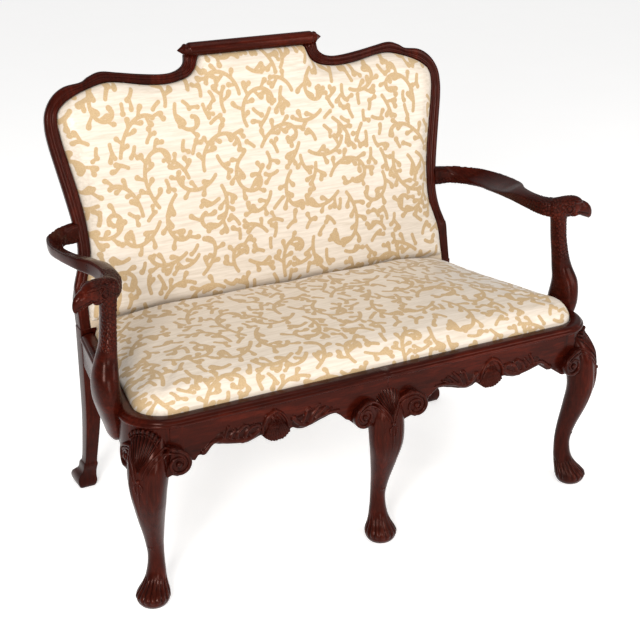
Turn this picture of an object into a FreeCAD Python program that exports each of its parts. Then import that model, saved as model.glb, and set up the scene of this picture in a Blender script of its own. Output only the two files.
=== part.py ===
# Camelback settee in carved mahogany with eagle-head arms, cabriole legs and a drop-in seat.
# Millimetres. +X to the right of someone who faces the front, +Z up, -Y to the front.
# The origin is on the floor, under the middle of the overall box.
import FreeCAD, Part
import math
import os
from FreeCAD import Vector

os.makedirs("parts", exist_ok=True)

# Driving sizes of the seat frame
rim_height = 430.0            # top of the moulded rim above the floor
front_face = -332.0           # widest line of the rim at the front
front_half_width = 588.0      # half width over the rim, just behind the front corners
side_setback = 100.0          # that half width is measured this far behind the front
rear_half_width = 518.0       # half width over the side rails at the rear posts
corner_radius = 97.0          # rounded front corners of the seat frame
rim_width = 32.0              # from the drop-in seat's opening to the widest line of the rim
rim_drop = 26.0               # height of the rim moulding
rail_thickness = 50.0         # front and side rails, rim included
rim_overhang = 3.0            # rim stands proud of the flat rail below it
rail_bottom = 364.0           # underside of the thick part of the front rail
side_rail_bottom = 345.0      # underside of the side rails
apron_thickness = 28.0        # carved board below the front rail
side_start = front_face + side_setback
shell_x = 277.0               # hinge of the scallop shell in the middle of each arch
shell_z = 366.0
ledge_height = 404.0          # the drop-in seat rests here
tenon_thickness = 12.0
tenon_length = 24.0
tenon_height = 34.0

# Driving sizes of the back
back_foot = 197.0             # front plane of the back at rim height
back_rake = 11.35             # degrees
post_width = 40.0             # rear post at the seat
post_depth = 40.0
back_depth = 34.0             # show-wood frame of the back, front to rear
back_ledge = 10.0             # rebate that the upholstered panel sits on
ledge_depth = 12.0
crest_joint = 897.0           # the crest rail sits on the posts at this height
roll_radius = 16.5            # rolled top of the crest
roll_height = 1038.5
roll_half_length = 167.0
roll_tip = 193.0              # pointed end of the roll
roll_setback = 5.0            # roll centre behind the front plane
rear_rail_thickness = 32.0
lower_rail_foot = 436.0       # rail behind the seat, under the upholstered panel
lower_rail_top = 464.0

# Driving sizes of the legs
corner_foot_inset = 30.0      # middle of the corner feet inside the seat frame's half width
corner_foot_setback = 34.0    # and behind the front of the rim
middle_foot_setback = 26.0
corner_foot_x = front_half_width - corner_foot_inset
corner_foot_y = front_face + corner_foot_setback
middle_foot_y = front_face + middle_foot_setback
foot_radius = 37.0
rear_foot_x = 508.0
corner_drift = Vector(-4, -6, 0)   # the corner knees stand a little forward of their feet

# Driving sizes of the upholstery
seat_gap = 1.5                # between the drop-in seat and the rim
seat_crown = 56.0             # rise of the seat over the rim
seat_rear = 188.0             # rear edge of the drop-in seat
seat_board = 22.0             # thickness of the seat frame's members
seat_member = 55.0            # width of the seat frame's members
back_crown = 24.0             # the back pad stands this proud of the show wood
back_board = 14.0             # thickness of the upholstered panel's frame
back_member = 48.0            # width of its members
outside_board = 8.0           # board that closes the back
cover_thickness = 2.0
cover_turn = 26.0             # the seat cover is turned in under the seat frame
dust_cloth = 1.0
strap_width = 50.0
strap_thickness = 1.5
fit_gap = 0.3                 # running gap between soft pieces and what holds them

# Driving sizes of the arms
arm_height = 688.0            # outer top edge of the arm
support_foot_depth = 16.0     # housing of the support in the side rail

# Driving sizes of what is inside
brace_width = 60.0            # brace from the front rail to the rear rail
brace_thickness = 16.0
brace_foot = 366.0
brace_housing = 10.0
block_foot = 350.0            # glue blocks in the seat frame's corners
block_top = 392.0
front_block_leg = 60.0
rear_block_leg = 65.0
cleat_size = 20.0             # strip on the rear rail that the drop-in seat rests on
cleat_clearance = 3.0         # from the strip's ends to the rear glue blocks

nodes = {}


def unit(v):
    return v.multiply(1.0 / v.Length)


def mirrored(shape):
    return shape.mirror(Vector(0, 0, 0), Vector(1, 0, 0))


def pair(name, shape):
    """Keep a piece of the right-hand side, and its mirror image on the left."""
    nodes[name + "_right"] = shape
    nodes[name + "_left"] = mirrored(shape)


def box(x0, x1, y0, y1, z0, z1):
    return Part.makeBox(x1 - x0, y1 - y0, z1 - z0, Vector(x0, y0, z0))


def prism(points, direction):
    """A straight prism over a flat polygon."""
    wire = Part.makePolygon(points + [points[0]])
    return Part.Face(wire).extrude(direction)


def ruled_body(rings):
    return Part.makeLoft(rings, True, True)


def oval(centre, along, across, half_along, half_across, fullness=2.5):
    """A ring of ten points in the plane of two directions; fullness 2 is an ellipse."""
    p = []
    for k in range(10):
        angle = math.radians(18 + 36 * k)
        u = math.copysign(abs(math.cos(angle)) ** (2 / fullness), math.cos(angle))
        w = math.copysign(abs(math.sin(angle)) ** (2 / fullness), math.sin(angle))
        p.append(centre + along * (u * half_along * 1.03) + across * (w * half_across * 1.03))
    return Part.makePolygon(p + [p[0]])


# Plan of the seat
side_run = Vector(rear_half_width - front_half_width, back_foot - side_start, 0)
side_direction = unit(Vector(side_run))
side_normal = Vector(side_direction.y, -side_direction.x, 0)
side_angle = math.degrees(math.atan2(side_normal.y, side_normal.x))
least_corner = 30.0           # rounding of the seat pad's inner outlines
corner_facets = 5             # the drop-in seat turns its corners in this many steps


def side_point(y, inset, z=0.0):
    """A point on the side rail's line, a given distance inside its widest line."""
    start = Vector(front_half_width, side_start, z) - side_normal * inset
    return start + side_direction * ((y - start.y) / side_direction.y)


def flip(p):
    return Vector(-p.x, p.y, p.z)


def line(a, b):
    return Part.LineSegment(a, b).toShape()


def arc(a, b, c):
    return Part.Arc(a, b, c).toShape()


def seat_corner(inset, z=0.0):
    """Centre and radius of the front corner of an outline inside the rim."""
    radius = max(corner_radius - inset, least_corner)
    return side_point(front_face + inset + radius, inset + radius, z), radius


corner_centre, _ = seat_corner(0.0)
corner_x = corner_centre.x
corner_y = corner_centre.y


def seat_plan(inset, rear, z, closing=0.0):
    """Outline of the seat along the rim, closing in towards the rear by a distance."""
    c, radius = seat_corner(inset, z)
    right = []
    for k in range(corner_facets + 1):
        angle = math.radians(-90 + (side_angle + 90) * k / corner_facets)
        right.append(c + Vector(math.cos(angle), math.sin(angle), 0) * radius)
    right.append(side_point(rear, inset + closing, z))
    left = [flip(p) for p in reversed(right)]
    return Part.makePolygon(right + left + [right[0]])


# Section of the rails, as distance from the rim's widest line and height
def rim_section(bottom, thickness, place):
    """The moulded rim, the rebate for the seat and the rail below it."""
    top = rim_height
    shoulder = rim_height - rim_drop
    bead = [place(0, shoulder + 4), place(-9, top - 6), place(-rim_width + 5, top)]
    corners = [place(-rim_width + 5, top), place(-rim_width, top), place(-rim_width, ledge_height),
               place(-thickness, ledge_height), place(-thickness, bottom),
               place(-rim_overhang, bottom), place(-rim_overhang, shoulder - 3),
               place(0, shoulder), place(0, shoulder + 4)]
    edges = [line(bead[0], place(-2.5, shoulder + 13)), line(place(-2.5, shoulder + 13), bead[1]),
             line(bead[1], bead[2])]
    for a, b in zip(corners[:-1], corners[1:]):
        edges.append(line(a, b))
    return Part.Face(Part.Wire(edges))


# Carved outline of the front apron, on the right of the middle leg, as arcs
apron_points = [
    (64, 316), (76, 322), (90, 326),          # foot of the arch beside the middle ear
    (97, 338), (106, 338),                    # stepped scallops
    (115, 348), (125, 347),
    (134, 360), (147, 363),                   # top of the arch
    (176, 360), (201, 350),                   # leaf edge
    (226, 346), (244, 353),
    (258, 334), (276, 332),                   # scallop shell
    (300, 338), (318, 354),
    (334, 346), (352, 346),
    (384, 349), (404, 359),                   # leaf edge
    (418, 361), (430, 353),
    (440, 343), (450, 342),                   # steps down to the corner leg
    (459, 332), (468, 331),
    (478, 319), (488, 315),
]


def apron_edge(y):
    """The lower edge of the apron from left to right, as arcs through three points."""
    right = [Vector(x, y, z) for x, z in apron_points]
    edges = []
    for k in range(0, len(right) - 2, 2):
        edges.append(arc(right[k], right[k + 1], right[k + 2]))
    left = []
    for k in range(0, len(right) - 2, 2):
        a, b, c = [Vector(-p.x, p.y, p.z) for p in right[k:k + 3]]
        left.append(arc(c, b, a))
    return left, edges, right[0], right[-1]


def front_rail():
    """One long rail with its moulded rim and the carved apron under it."""
    def place(n, z):
        return Vector(-corner_x, front_face - n, z)
    rail = rim_section(rail_bottom, rail_thickness, place).extrude(Vector(2 * corner_x, 0, 0))
    y = front_face + rim_overhang
    left, right, inner, outer = apron_edge(y)
    top = rail_bottom + 20
    corner = Vector(corner_x, y, outer.z)
    upper = Vector(corner_x, y, top)
    edges = list(reversed(left))
    edges += [line(flip(inner), inner)]
    edges += right
    edges += [line(outer, corner), line(corner, upper),
              line(upper, flip(upper)),
              line(flip(upper), flip(corner)),
              line(flip(corner), flip(outer))]
    outline = Part.Wire(Part.__sortEdges__(edges))
    apron = Part.Face(outline).extrude(Vector(0, apron_thickness, 0))
    return rail.fuse(apron).removeSplitter()


def side_rail():
    start = corner_centre + side_normal * corner_radius

    def place(n, z):
        p = start + side_normal * n
        return Vector(p.x, p.y, z)
    length = (back_foot - start.y) / side_direction.y + rail_thickness
    rail = rim_section(side_rail_bottom, rail_thickness, place).extrude(side_direction * length)
    return rail.common(box(0, 1000, -1000, back_foot, 0, 1000))


def corner_block_solid():
    """The rounded corner of the seat frame, which is the top of the corner leg."""
    def place(n, z):
        return Vector(corner_x, corner_y - corner_radius - n, z)
    section = rim_section(side_rail_bottom - 6, corner_radius - 20, place)
    axis = Vector(0, 0, 1)
    return section.revolve(corner_centre, axis, side_angle + 90)


# Cabriole legs: height, offset of the section's middle along the knee's direction, half sizes
corner_sections = [
    (0.0, -2.0, 25.0, 25.0),
    (9.0, -1.0, 32.5, 32.5),
    (23.0, -1.0, 37.2, 37.2),
    (43.0, -12.0, 28.5, 28.5),
    (70.0, -23.0, 20.7, 20.7),
    (110.0, -26.0, 18.0, 18.0),
    (160.0, -17.0, 21.6, 21.6),
    (215.0, -2.0, 28.2, 28.2),
    (270.0, 8.0, 32.0, 36.2),
    (325.0, 3.5, 36.8, 41.6),
    (386.0, -14.0, 29.2, 33.0),
]
middle_sections = [
    (0.0, 0.0, 25.0, 25.0),
    (9.0, 1.0, 32.5, 32.5),
    (23.0, 1.0, 37.0, 37.0),
    (43.0, -5.0, 28.2, 28.2),
    (70.0, -12.0, 20.7, 20.7),
    (110.0, -14.0, 17.3, 17.3),
    (160.0, -4.0, 21.0, 21.0),
    (210.0, 9.0, 27.5, 27.5),
    (260.0, 19.5, 29.0, 38.2),
    (320.0, 15.0, 31.0, 40.8),
    (386.0, -6.0, 26.0, 34.2),
]
shaped_foot_radius = 37.0      # the sections are drawn for a foot of this size


def cabriole(sections, foot, direction, drift):
    """An S-shaped leg; above the ankle it drifts sideways by a vector."""
    across = Vector(-direction.y, direction.x, 0)
    rings = []
    for z, offset, half_along, half_across in sections:
        share = min(1.0, max(0.0, (z - 135.0) / 110.0))
        centre = foot + direction * offset + drift * share + Vector(0, 0, z)
        scale = foot_radius / shaped_foot_radius if z < 60 else 1.0
        rings.append(oval(centre, direction, across, half_along * scale, half_across * scale))
    return ruled_body(rings)


def corner_leg():
    direction = unit(Vector(1, -1, 0))
    foot = Vector(corner_foot_x, corner_foot_y, 0)
    leg = cabriole(corner_sections, foot, direction, corner_drift)
    return leg.fuse(corner_block_solid())


def middle_leg():
    foot = Vector(0, middle_foot_y, 0)
    leg = cabriole(middle_sections, foot, Vector(0, -1, 0), Vector(0, 0, 0))
    leg = leg.cut(box(-200, 200, front_face + rail_thickness - brace_housing, 0, brace_foot, 500))
    stub = box(-tenon_height / 2, tenon_height / 2, front_face + rim_overhang + 9,
               front_face + rim_overhang + 9 + tenon_thickness, 300, ledge_height - 10)
    return leg, stub


def volute(reach, drop, near, top, shoulder):
    """Outline of an ear: a C-scroll beside the knee that curls under at its outer end."""
    r = 27.0
    eye_u = reach - r
    eye_z = drop + r
    return [(near, drop - 22), (near + 4, drop - 6), (near + 17, drop + 4),
            (eye_u - 4, drop), (reach, eye_z), (eye_u + 0.45 * r, eye_z + 0.9 * r),
            (eye_u - 0.55 * r, top), (0, shoulder), (0, drop - 22)]


def ear(profile, place, thickness_direction):
    """A scrolled block from its outline, glued beside the knee."""
    q = [place(u, z) for u, z in profile]
    edges = [
        arc(q[0], q[1], q[2]),
        line(q[2], q[3]),
        arc(q[3], q[4], q[5]),
        arc(q[5], q[6], q[7]),
        line(q[7], q[8]),
        line(q[8], q[0]),
    ]
    return Part.Face(Part.Wire(edges)).extrude(thickness_direction)


# Back frame: outlines on the raked plane, as half width and height above the floor
outer_points = [
    (514, 540), (500, 576), (494, 605), (492, 640), (498, 690), (508, 750), (520, 815),
    (528, 860), (531, 897), (526, 932), (506, 964), (475, 984), (433, 990),
]
crown_points = [
    (426, 993), (414, 1001), (385, 1009.5), (345, 1004), (295, 996), (240, 990), (205, 992.5),
    (181, 1006), (179, 1022),
]
inner_points = [
    (489, 431), (489, 484), (488.2, 508.5), (486, 533), (475, 572), (464, 612), (465, 675), (473, 740),
    (487, 813), (499, 880), (499, 925), (480, 948), (448, 965), (412, 977), (376, 984.5),
    (338, 981), (272, 969), (210, 968), (160, 985), (141, 1024),
]
rake = math.radians(back_rake)
post_x = inner_points[0][0] + 6.0
chords_per_arc = 3


def on_back(x, z, depth=0.0):
    """A point of the back: half width, height on the front plane, and depth behind it."""
    rise = (z - rim_height) / math.cos(rake)
    y = back_foot + rise * math.sin(rake) + depth * math.cos(rake)
    return Vector(x, y, rim_height + rise * math.cos(rake) - depth * math.sin(rake))


back_normal = Vector(0, math.cos(rake), -math.sin(rake))


def shifted(points, inset):
    """The points of an outline, moved inwards across it by a distance."""
    result = []
    for k, (x, z) in enumerate(points):
        x0, z0 = points[max(k - 1, 0)]
        x1, z1 = points[min(k + 1, len(points) - 1)]
        length = math.hypot(x1 - x0, z1 - z0)
        result.append((x - inset * (z1 - z0) / length, z + inset * (x1 - x0) / length))
    return result


def arc_chain(points, depth):
    """Arcs through each run of three points of an outline, each as a few straight chords."""
    p = [on_back(x, z, depth) for x, z in points]
    edges = []
    for k in range(0, len(p) - 2, 2):
        run = arc(p[k], p[k + 1], p[k + 2]).discretize(chords_per_arc + 1)
        run[0] = p[k]
        run[-1] = p[k + 2]
        edges += [line(a, b) for a, b in zip(run[:-1], run[1:])]
    return edges


def half_band(outer_inset, inner_inset, depth, foot):
    """Outline of the right-hand half of the show-wood frame."""
    outer = shifted(outer_points, outer_inset)
    crown = shifted(crown_points, outer_inset)
    inner = shifted(inner_points, -inner_inset)
    top = roll_height - outer_inset
    roll_end = crown[-1][0] - 12
    low_outer = on_back(outer[0][0], foot, depth)
    low_inner = on_back(inner[0][0], foot, depth)
    edges = [line(low_outer, on_back(*outer[0], depth))]
    edges += arc_chain(outer, depth)
    edges += [line(on_back(*outer[-1], depth), on_back(*crown[0], depth))]
    edges += arc_chain(crown, depth)
    edges += [line(on_back(*crown[-1], depth), on_back(roll_end, top, depth)),
              line(on_back(roll_end, top, depth), on_back(0, top, depth)),
              line(on_back(0, top, depth), on_back(0, inner[-1][1], depth)),
              line(on_back(0, inner[-1][1], depth), on_back(*inner[-1], depth))]
    inside = arc_chain(inner[1:], depth)
    edges += [on_back_reversed(e) for e in reversed(inside)]
    edges += [line(on_back(*inner[1], depth), low_inner), line(low_inner, low_outer)]
    return Part.Wire(edges)


def on_back_reversed(edge):
    """The same chord, run from its other end."""
    return line(edge.valueAt(edge.LastParameter), edge.valueAt(edge.FirstParameter))


def pad_outline(inset, depth, foot):
    """Closed outline of the upholstered panel, inside the show wood by a distance."""
    inner = shifted(inner_points, inset)
    inner[-1] = (inner[-1][0], inner_points[-1][1] - inset)
    low = on_back(inner[1][0], foot, depth)
    right = arc_chain(inner[1:], depth)
    mirror = [(-x, z) for x, z in inner[1:]]
    left = [on_back_reversed(e) for e in reversed(arc_chain(mirror, depth))]
    first = on_back(*inner[1], depth)
    top = line(on_back(*inner[-1], depth), on_back(*mirror[-1], depth))
    return Part.Wire([line(flip(low), low), line(low, first)] + right + [top] + left
                     + [line(flip(first), flip(low))])


def back_slab(inset, front, rear, foot):
    """A flat panel with the outline of the upholstered back."""
    face = Part.Face(pad_outline(inset, front, foot))
    return face.extrude(back_normal * (rear - front))


def back_box(x0, x1, z0, z1, front, rear):
    """A block square to the back: half widths, heights on the front plane, depths."""
    p = [on_back(x0, z0, front), on_back(x1, z0, front), on_back(x1, z1, front),
         on_back(x0, z1, front)]
    return prism(p, back_normal * (rear - front))


def show_frame():
    """The whole right half of the back's show wood, with the rebate behind its opening."""
    band = Part.Face(half_band(0, 0, 0, rim_height)).extrude(back_normal * back_depth)
    seat_z = lower_rail_top - 4
    ring = back_slab(-1.0, back_depth - ledge_depth, back_depth, seat_z)
    ring = ring.cut(back_slab(back_ledge, back_depth - ledge_depth - 1, back_depth + 1, seat_z - 5))
    right = ring.common(box(0, 1000, -1000, 1000, 0, 2000))
    return band.fuse(right)


def rear_leg():
    """Square raked leg below the seat, with a foot that turns out."""
    top_x = post_x
    top_y = back_foot + post_depth / 2
    sections = [
        (0, rear_foot_x, 276, 20, 26), (12, rear_foot_x, 278, 24, 31),
        (28, rear_foot_x, 275, 23, 28), (46, rear_foot_x - 5, 263, 18, 20),
        (66, rear_foot_x - 7, 255, 18, 19), (73, rear_foot_x - 8, 252, 15.5, 16),
        (105, rear_foot_x - 9, 243, 15.5, 16), (210, rear_foot_x - 11, 221, 18, 18.5),
        (rail_bottom - 30, top_x, top_y, post_width / 2, post_depth / 2),
        (rim_height + 4, top_x, top_y, post_width / 2, post_depth / 2),
    ]
    rings = []
    for z, x, y, half_x, half_y in sections:
        p = [Vector(x - half_x, y - half_y, z), Vector(x + half_x, y - half_y, z),
             Vector(x + half_x, y + half_y, z), Vector(x - half_x, y + half_y, z)]
        rings.append(Part.makePolygon(p + [p[0]]))
    return ruled_body(rings)


def crest_roll():
    """The rolled top of the crest, with a ringed and pointed end."""
    r = roll_radius
    start = roll_half_length
    profile = [(0, 0), (0, r), (start, r), (start + 3, r - 1), (start + 4, r - 4),
               (start + 8, r - 3.5), (start + 10, r - 7), (roll_tip, 0)]
    centre = on_back(0, roll_height, roll_setback)
    points = [centre + Vector(x, 0, h) for x, h in profile]
    face = Part.Face(Part.makePolygon(points + [points[0]]))
    return face.revolve(centre, Vector(1, 0, 0), 360)


# The arms are drawn for a support that stands here; they follow when the seat frame changes
drawn_line = 579.5
drawn_start = -232.0
support_setback = 52.0        # middle of the support behind the start of the side rail
support_y = side_start + support_setback
support_line = side_point(support_y, 0).x


def follow(x, y, z):
    """A point of the arm, moved with the support the nearer it is to it."""
    share = min(1.0, max(0.0, (262.0 - y) / 270.0))
    return Vector(x + share * (support_line - drawn_line), y + share * (side_start - drawn_start), z)


# Arm: stations of the outer and inner top edge, with the thickness under each
arm_stations = [
    ((504, 262, -8), 40, (504, 236, -10), 42),
    ((530, 240, -2), 34, (524, 228, -18), 34),
    ((556, 214, -1), 28, (539, 208, -28), 22),
    ((584, 177, -1), 26, (548, 170, -31), 14),
    ((598, 121, 0), 25, (545, 118, -27), 10),
    ((597, 71, 2), 25, (536, 74, -23), 9),
    ((592, 30, 4), 26, (526, 32, -17), 9),
    ((583, -8, 5), 28, (522, -12, -11), 13),
    ((566, -44, 4), 31, (521, -56, -5), 20),
    ((560, -90, 3), 34, (525, -104, -3), 27),
    ((564, -128, 3), 36, (533, -152, -3), 32),
    ((576, -146, 5), 40, (556, -184, -2), 36),
]


def arm_rail():
    """Dished arm as a loft through four-sided sections with a hollow top."""
    rings = []
    for outer, outer_drop, inner, inner_drop in arm_stations:
        o = follow(outer[0], outer[1], arm_height + outer[2])
        i = follow(inner[0], inner[1], arm_height + inner[2])
        ob = o - Vector(0, 0, outer_drop)
        ib = i - Vector(0, 0, inner_drop)
        width = unit(o - i)
        ob = ob - width * 4
        ib = ib + width * 3
        bulge = 2.0
        top_mid = (o + i) * 0.5 - Vector(0, 0, bulge)
        out_mid = (o + ob) * 0.5 + width * bulge
        in_mid = (i + ib) * 0.5 - width * bulge
        rings.append(Part.makePolygon([ob, out_mid, o, top_mid, i, in_mid, ib, ob]))
    return ruled_body(rings)


def eagle_head():
    """Head at the end of the arm, turned outwards, with brow and hooked beak."""
    start = follow(560, -166, arm_height - 14)
    axis = unit(Vector(97, -28, 0))
    across = Vector(-axis.y, axis.x, 0)
    up = Vector(0, 0, 1)
    skull = [(-4, 17, 19, 0), (12, 19.5, 23.5, 1), (36, 21, 26, 1), (56, 18, 22, 3),
             (70, 13, 16, 3)]
    rings = []
    for t, half_w, half_h, rise in skull:
        rings.append(oval(start + axis * t + up * rise, across, up, half_w, half_h))
    head = ruled_body(rings)
    beak = [(62, 12, 15, 0, 0), (80, 9, 12, -4, 25), (91, 5.5, 8, -16, 60),
            (94, 2.2, 3.5, -29, 80)]
    rings = []
    for t, half_w, half_h, rise, turn in beak:
        angle = math.radians(turn)
        tilted = up * math.cos(angle) + axis * math.sin(angle)
        rings.append(oval(start + axis * t + up * rise, across, tilted, half_w, half_h, 2.0))
    return head.fuse(ruled_body(rings))


# Arm support: height, middle of the section and its half sizes
support_sections = [
    (656, 571, -170, 17.5, 21.0),
    (600, 575, -171, 16.5, 21.8),
    (556, 580, -175, 18.0, 24.0),
    (526, 586, -177, 23.0, 25.0),
    (490, 593, -183, 27.3, 34.0),
    (445, 591.5, -182, 27.0, 43.5),
    (410, 586, -178.5, 23.0, 43.5),
    (376, 580.5, -175.5, 17.0, 35.5),
    (343, 577, -171, 6.5, 18.0),
]
housing_length = 92.0         # length of the support's foot along the side rail
housing_front = support_y - housing_length / 2
housing_rear = support_y + housing_length / 2


def side_housing(outer):
    """The block of the side rail that the arm support's foot takes the place of."""
    depth = support_foot_depth
    a = side_point(housing_front, depth)
    b = side_point(housing_rear, depth)
    c = side_point(housing_rear, -outer)
    d = side_point(housing_front, -outer)
    points = [Vector(p.x, p.y, 300) for p in (a, b, c, d)]
    return prism(points, Vector(0, 0, rim_height - 300))


def behind_housing():
    """Everything below the rim that lies inside the housing's flat bottom."""
    a = side_point(support_y - 120, support_foot_depth)
    b = side_point(support_y + 120, support_foot_depth)
    c = side_point(support_y + 120, 150)
    d = side_point(support_y - 120, 150)
    return prism([Vector(p.x, p.y, 250) for p in (a, b, c, d)], Vector(0, 0, rim_height - 250))


def arm_support(rail, leg):
    """The S-shaped support, let into the outside of the side rail."""
    rings = []
    for z, x, y, half_x, half_y in support_sections:
        rings.append(oval(follow(x, y, z), Vector(1, 0, 0), Vector(0, 1, 0), half_x, half_y))
    body = ruled_body(rings)
    foot = rail.common(side_housing(1))
    outside = body.cut([rail, leg, behind_housing()])
    return outside.fuse(foot).removeSplitter()


def rear_seat_rail():
    """Rail between the rear posts, with its tenons as separate shapes."""
    inner = post_x - post_width / 2
    rail = box(-inner, inner, back_foot, back_foot + rear_rail_thickness, side_rail_bottom + 4,
               rim_height - 2)
    tenon = box(inner - 1, inner + tenon_length, back_foot + 10,
                back_foot + 10 + tenon_thickness, side_rail_bottom + 50,
                side_rail_bottom + 50 + tenon_height - 10)
    return rail, tenon


def glue_block(points):
    return prism([Vector(x, y, block_foot) for x, y in points],
                 Vector(0, 0, block_top - block_foot))


def front_block():
    """Glue block in the front corner, against both rails and the leg."""
    inner_y = front_face + rail_thickness
    radius = corner_radius - rail_thickness
    start = corner_centre + side_normal * radius
    end = side_point(start.y + front_block_leg, rail_thickness)
    hole = corner_centre + side_normal * 20
    return glue_block([(corner_x - front_block_leg, inner_y), (corner_x, inner_y),
                       (corner_x, corner_y), (hole.x, hole.y), (start.x, start.y),
                       (end.x, end.y)])


def rear_block():
    """Glue block between the side rail and the rear rail."""
    a = side_point(back_foot, rail_thickness)
    b = side_point(back_foot - rear_block_leg, rail_thickness)
    return glue_block([(a.x - rear_block_leg, back_foot), (a.x, a.y), (b.x, b.y)])


def half_round(centre, across, radius):
    """Half of an eight-sided ring, bulging to the front, for a carved rib."""
    front = Vector(0, -1, 0)
    p = []
    for k in range(5):
        angle = math.pi * k / 4
        p.append(centre + across * (radius * math.cos(angle)) + front * (radius * math.sin(angle)))
    return Part.makePolygon(p + [p[0]])


def scallop(x, z, y):
    """Carved fan of tapered ribs on the apron, spreading downwards from its hinge."""
    hinge = Vector(x, y, z)
    ribs = [Part.makeBox(9, 4, 9, Vector(x - 4.5, y - 4, z - 4.5))]
    for k in range(-3, 4):
        angle = math.radians(23 * k)
        out = Vector(math.sin(angle), 0, -math.cos(angle))
        across = Vector(math.cos(angle), 0, math.sin(angle))
        near = half_round(hinge + out * 3, across, 1.8)
        far = half_round(hinge + out * (30.0 - 0.9 * abs(k)), across, 5.9)
        end = half_round(hinge + out * (34.0 - 0.9 * abs(k)), across, 3.2)
        ribs.append(ruled_body([near, far, end]))
    return ribs[0].fuse(ribs[1:])


def build_frame():
    rail_front = front_rail()
    leg, stub = middle_leg()
    brace = box(-brace_width / 2, brace_width / 2, front_face + rail_thickness - brace_housing,
                back_foot + brace_housing, brace_foot, brace_foot + brace_thickness)
    nodes["seat_centre_brace"] = brace

    corner = corner_leg()
    front_tenon = box(corner_x - 1, corner_x + tenon_length, front_face + 22,
                      front_face + 22 + tenon_thickness, rail_bottom + 3,
                      rail_bottom + 3 + tenon_height)
    rail_raw = side_rail()
    support = arm_support(rail_raw, corner)
    rail_side = rail_raw.cut(side_housing(20))

    back = show_frame()
    upper = back_box(-700, 700, crest_joint, crest_joint + 400, -80, 80)
    joint = on_back_tenon()
    crest = back.common(upper).cut(joint)
    nodes["crest_rail"] = crest.fuse([mirrored(crest), crest_roll(), mirrored(crest_roll())])
    post = back.cut(upper).fuse([rear_leg(), joint])

    tenon_low = side_rail_bottom + 12
    mid = side_point(back_foot, rail_thickness / 2)
    side_tenon = box(mid.x - tenon_thickness / 2, mid.x + tenon_thickness / 2, back_foot - 1,
                     back_foot + tenon_length, tenon_low, tenon_low + tenon_height)
    rear_rail, rear_tenon = rear_seat_rail()
    lower_rail = back_box(-inner_points[0][0], inner_points[0][0], lower_rail_foot, lower_rail_top,
                          0, back_depth)
    post = post.cut([side_tenon, rear_tenon]).removeSplitter()
    nodes["rear_seat_rail"] = rear_rail.fuse([rear_tenon, mirrored(rear_tenon)]).cut(brace)
    nodes["back_lower_rail"] = lower_rail.cut([post, mirrored(post)])
    pair("rear_post", post)

    shell = scallop(shell_x, shell_z, front_face + rim_overhang)
    rail_front = rail_front.fuse([shell, mirrored(shell)])
    nodes["front_seat_rail"] = rail_front.cut([stub, brace]).fuse([front_tenon, mirrored(front_tenon)])
    nodes["front_leg_middle"] = leg.cut(rail_front).fuse(stub)
    corner = corner.cut(front_tenon)
    pair("front_leg", corner)

    block = front_block()
    heel = rear_block()
    pair("corner_block_front", block)
    pair("corner_block_rear", heel)
    reach = side_point(back_foot, rail_thickness).x - rear_block_leg - cleat_clearance
    nodes["rear_cleat"] = box(-reach, reach, back_foot - cleat_size, back_foot,
                              ledge_height - cleat_size, ledge_height)
    pair("side_seat_rail", rail_side.fuse(side_tenon))
    pair("arm_support", support)

    arm = arm_rail().fuse(eagle_head())
    arm = arm.cut([support, post])
    pair("arm", arm)

    # Scrolled ears beside the knees
    face = front_face - 14
    depth = Vector(0, 43, 0)

    def from_corner(u, z):
        return Vector(corner_foot_x - u, face, z)

    def from_middle(u, z):
        return Vector(u, face, z)

    def along_side(u, z):
        p = side_point(corner_foot_y, rim_overhang - 1) + side_direction * u
        return Vector(p.x, p.y, z)
    leg_whole = nodes["front_leg_middle"]
    ear_front = ear(volute(81, 313, 22, 380, 330), from_corner, depth)
    ear_middle = ear(volute(93, 313, 36, 378, 350), from_middle, depth)
    ear_side = ear(volute(66, 313, 22, 374, 330), along_side, side_normal * -30)
    pair("ear_front", largest(ear_front.cut([rail_front, corner])))
    pair("ear_middle", largest(ear_middle.cut([rail_front, leg_whole])))
    pair("ear_side", largest(ear_side.cut([corner, rail_raw, support])))


def on_back_tenon():
    """Loose tongue on top of the post that enters the crest rail."""
    x = outer_points[8][0] - 23
    return back_box(x, x + 12, crest_joint - 2, crest_joint + 28, 11, 11 + tenon_thickness)


def largest(shape):
    return max(shape.Solids, key=lambda solid: solid.Volume)


# Drop-in seat: inset from its opening, rear gap, height and closing-in of each ring
seat_rings = [
    (0.0, 0.0, ledge_height + fit_gap, 0.0),
    (0.0, 0.0, rim_height + 2, 0.0),
    (6.0, 3.0, rim_height + 0.48 * seat_crown, 32.0),
    (42.0, 12.0, rim_height + 0.78 * seat_crown, 88.0),
    (190.0, 90.0, rim_height + seat_crown, 90.0),
]


def seat_body(skin, rings_used):
    """The crowned seat, or what is inside its cover."""
    rings = []
    for inset, gap, z, closing in rings_used:
        level = z if z < rim_height else z - skin
        ring = seat_plan(rim_width + seat_gap + inset + skin, seat_rear - gap - skin, level, closing)
        rings.append(ring)
    return ruled_body(rings)


def seat_slab(inset, z0, z1):
    """A flat board with the drop-in seat's outline."""
    plan = seat_plan(rim_width + seat_gap + inset, seat_rear - inset, z0)
    return Part.Face(plan).extrude(Vector(0, 0, z1 - z0))


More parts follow.
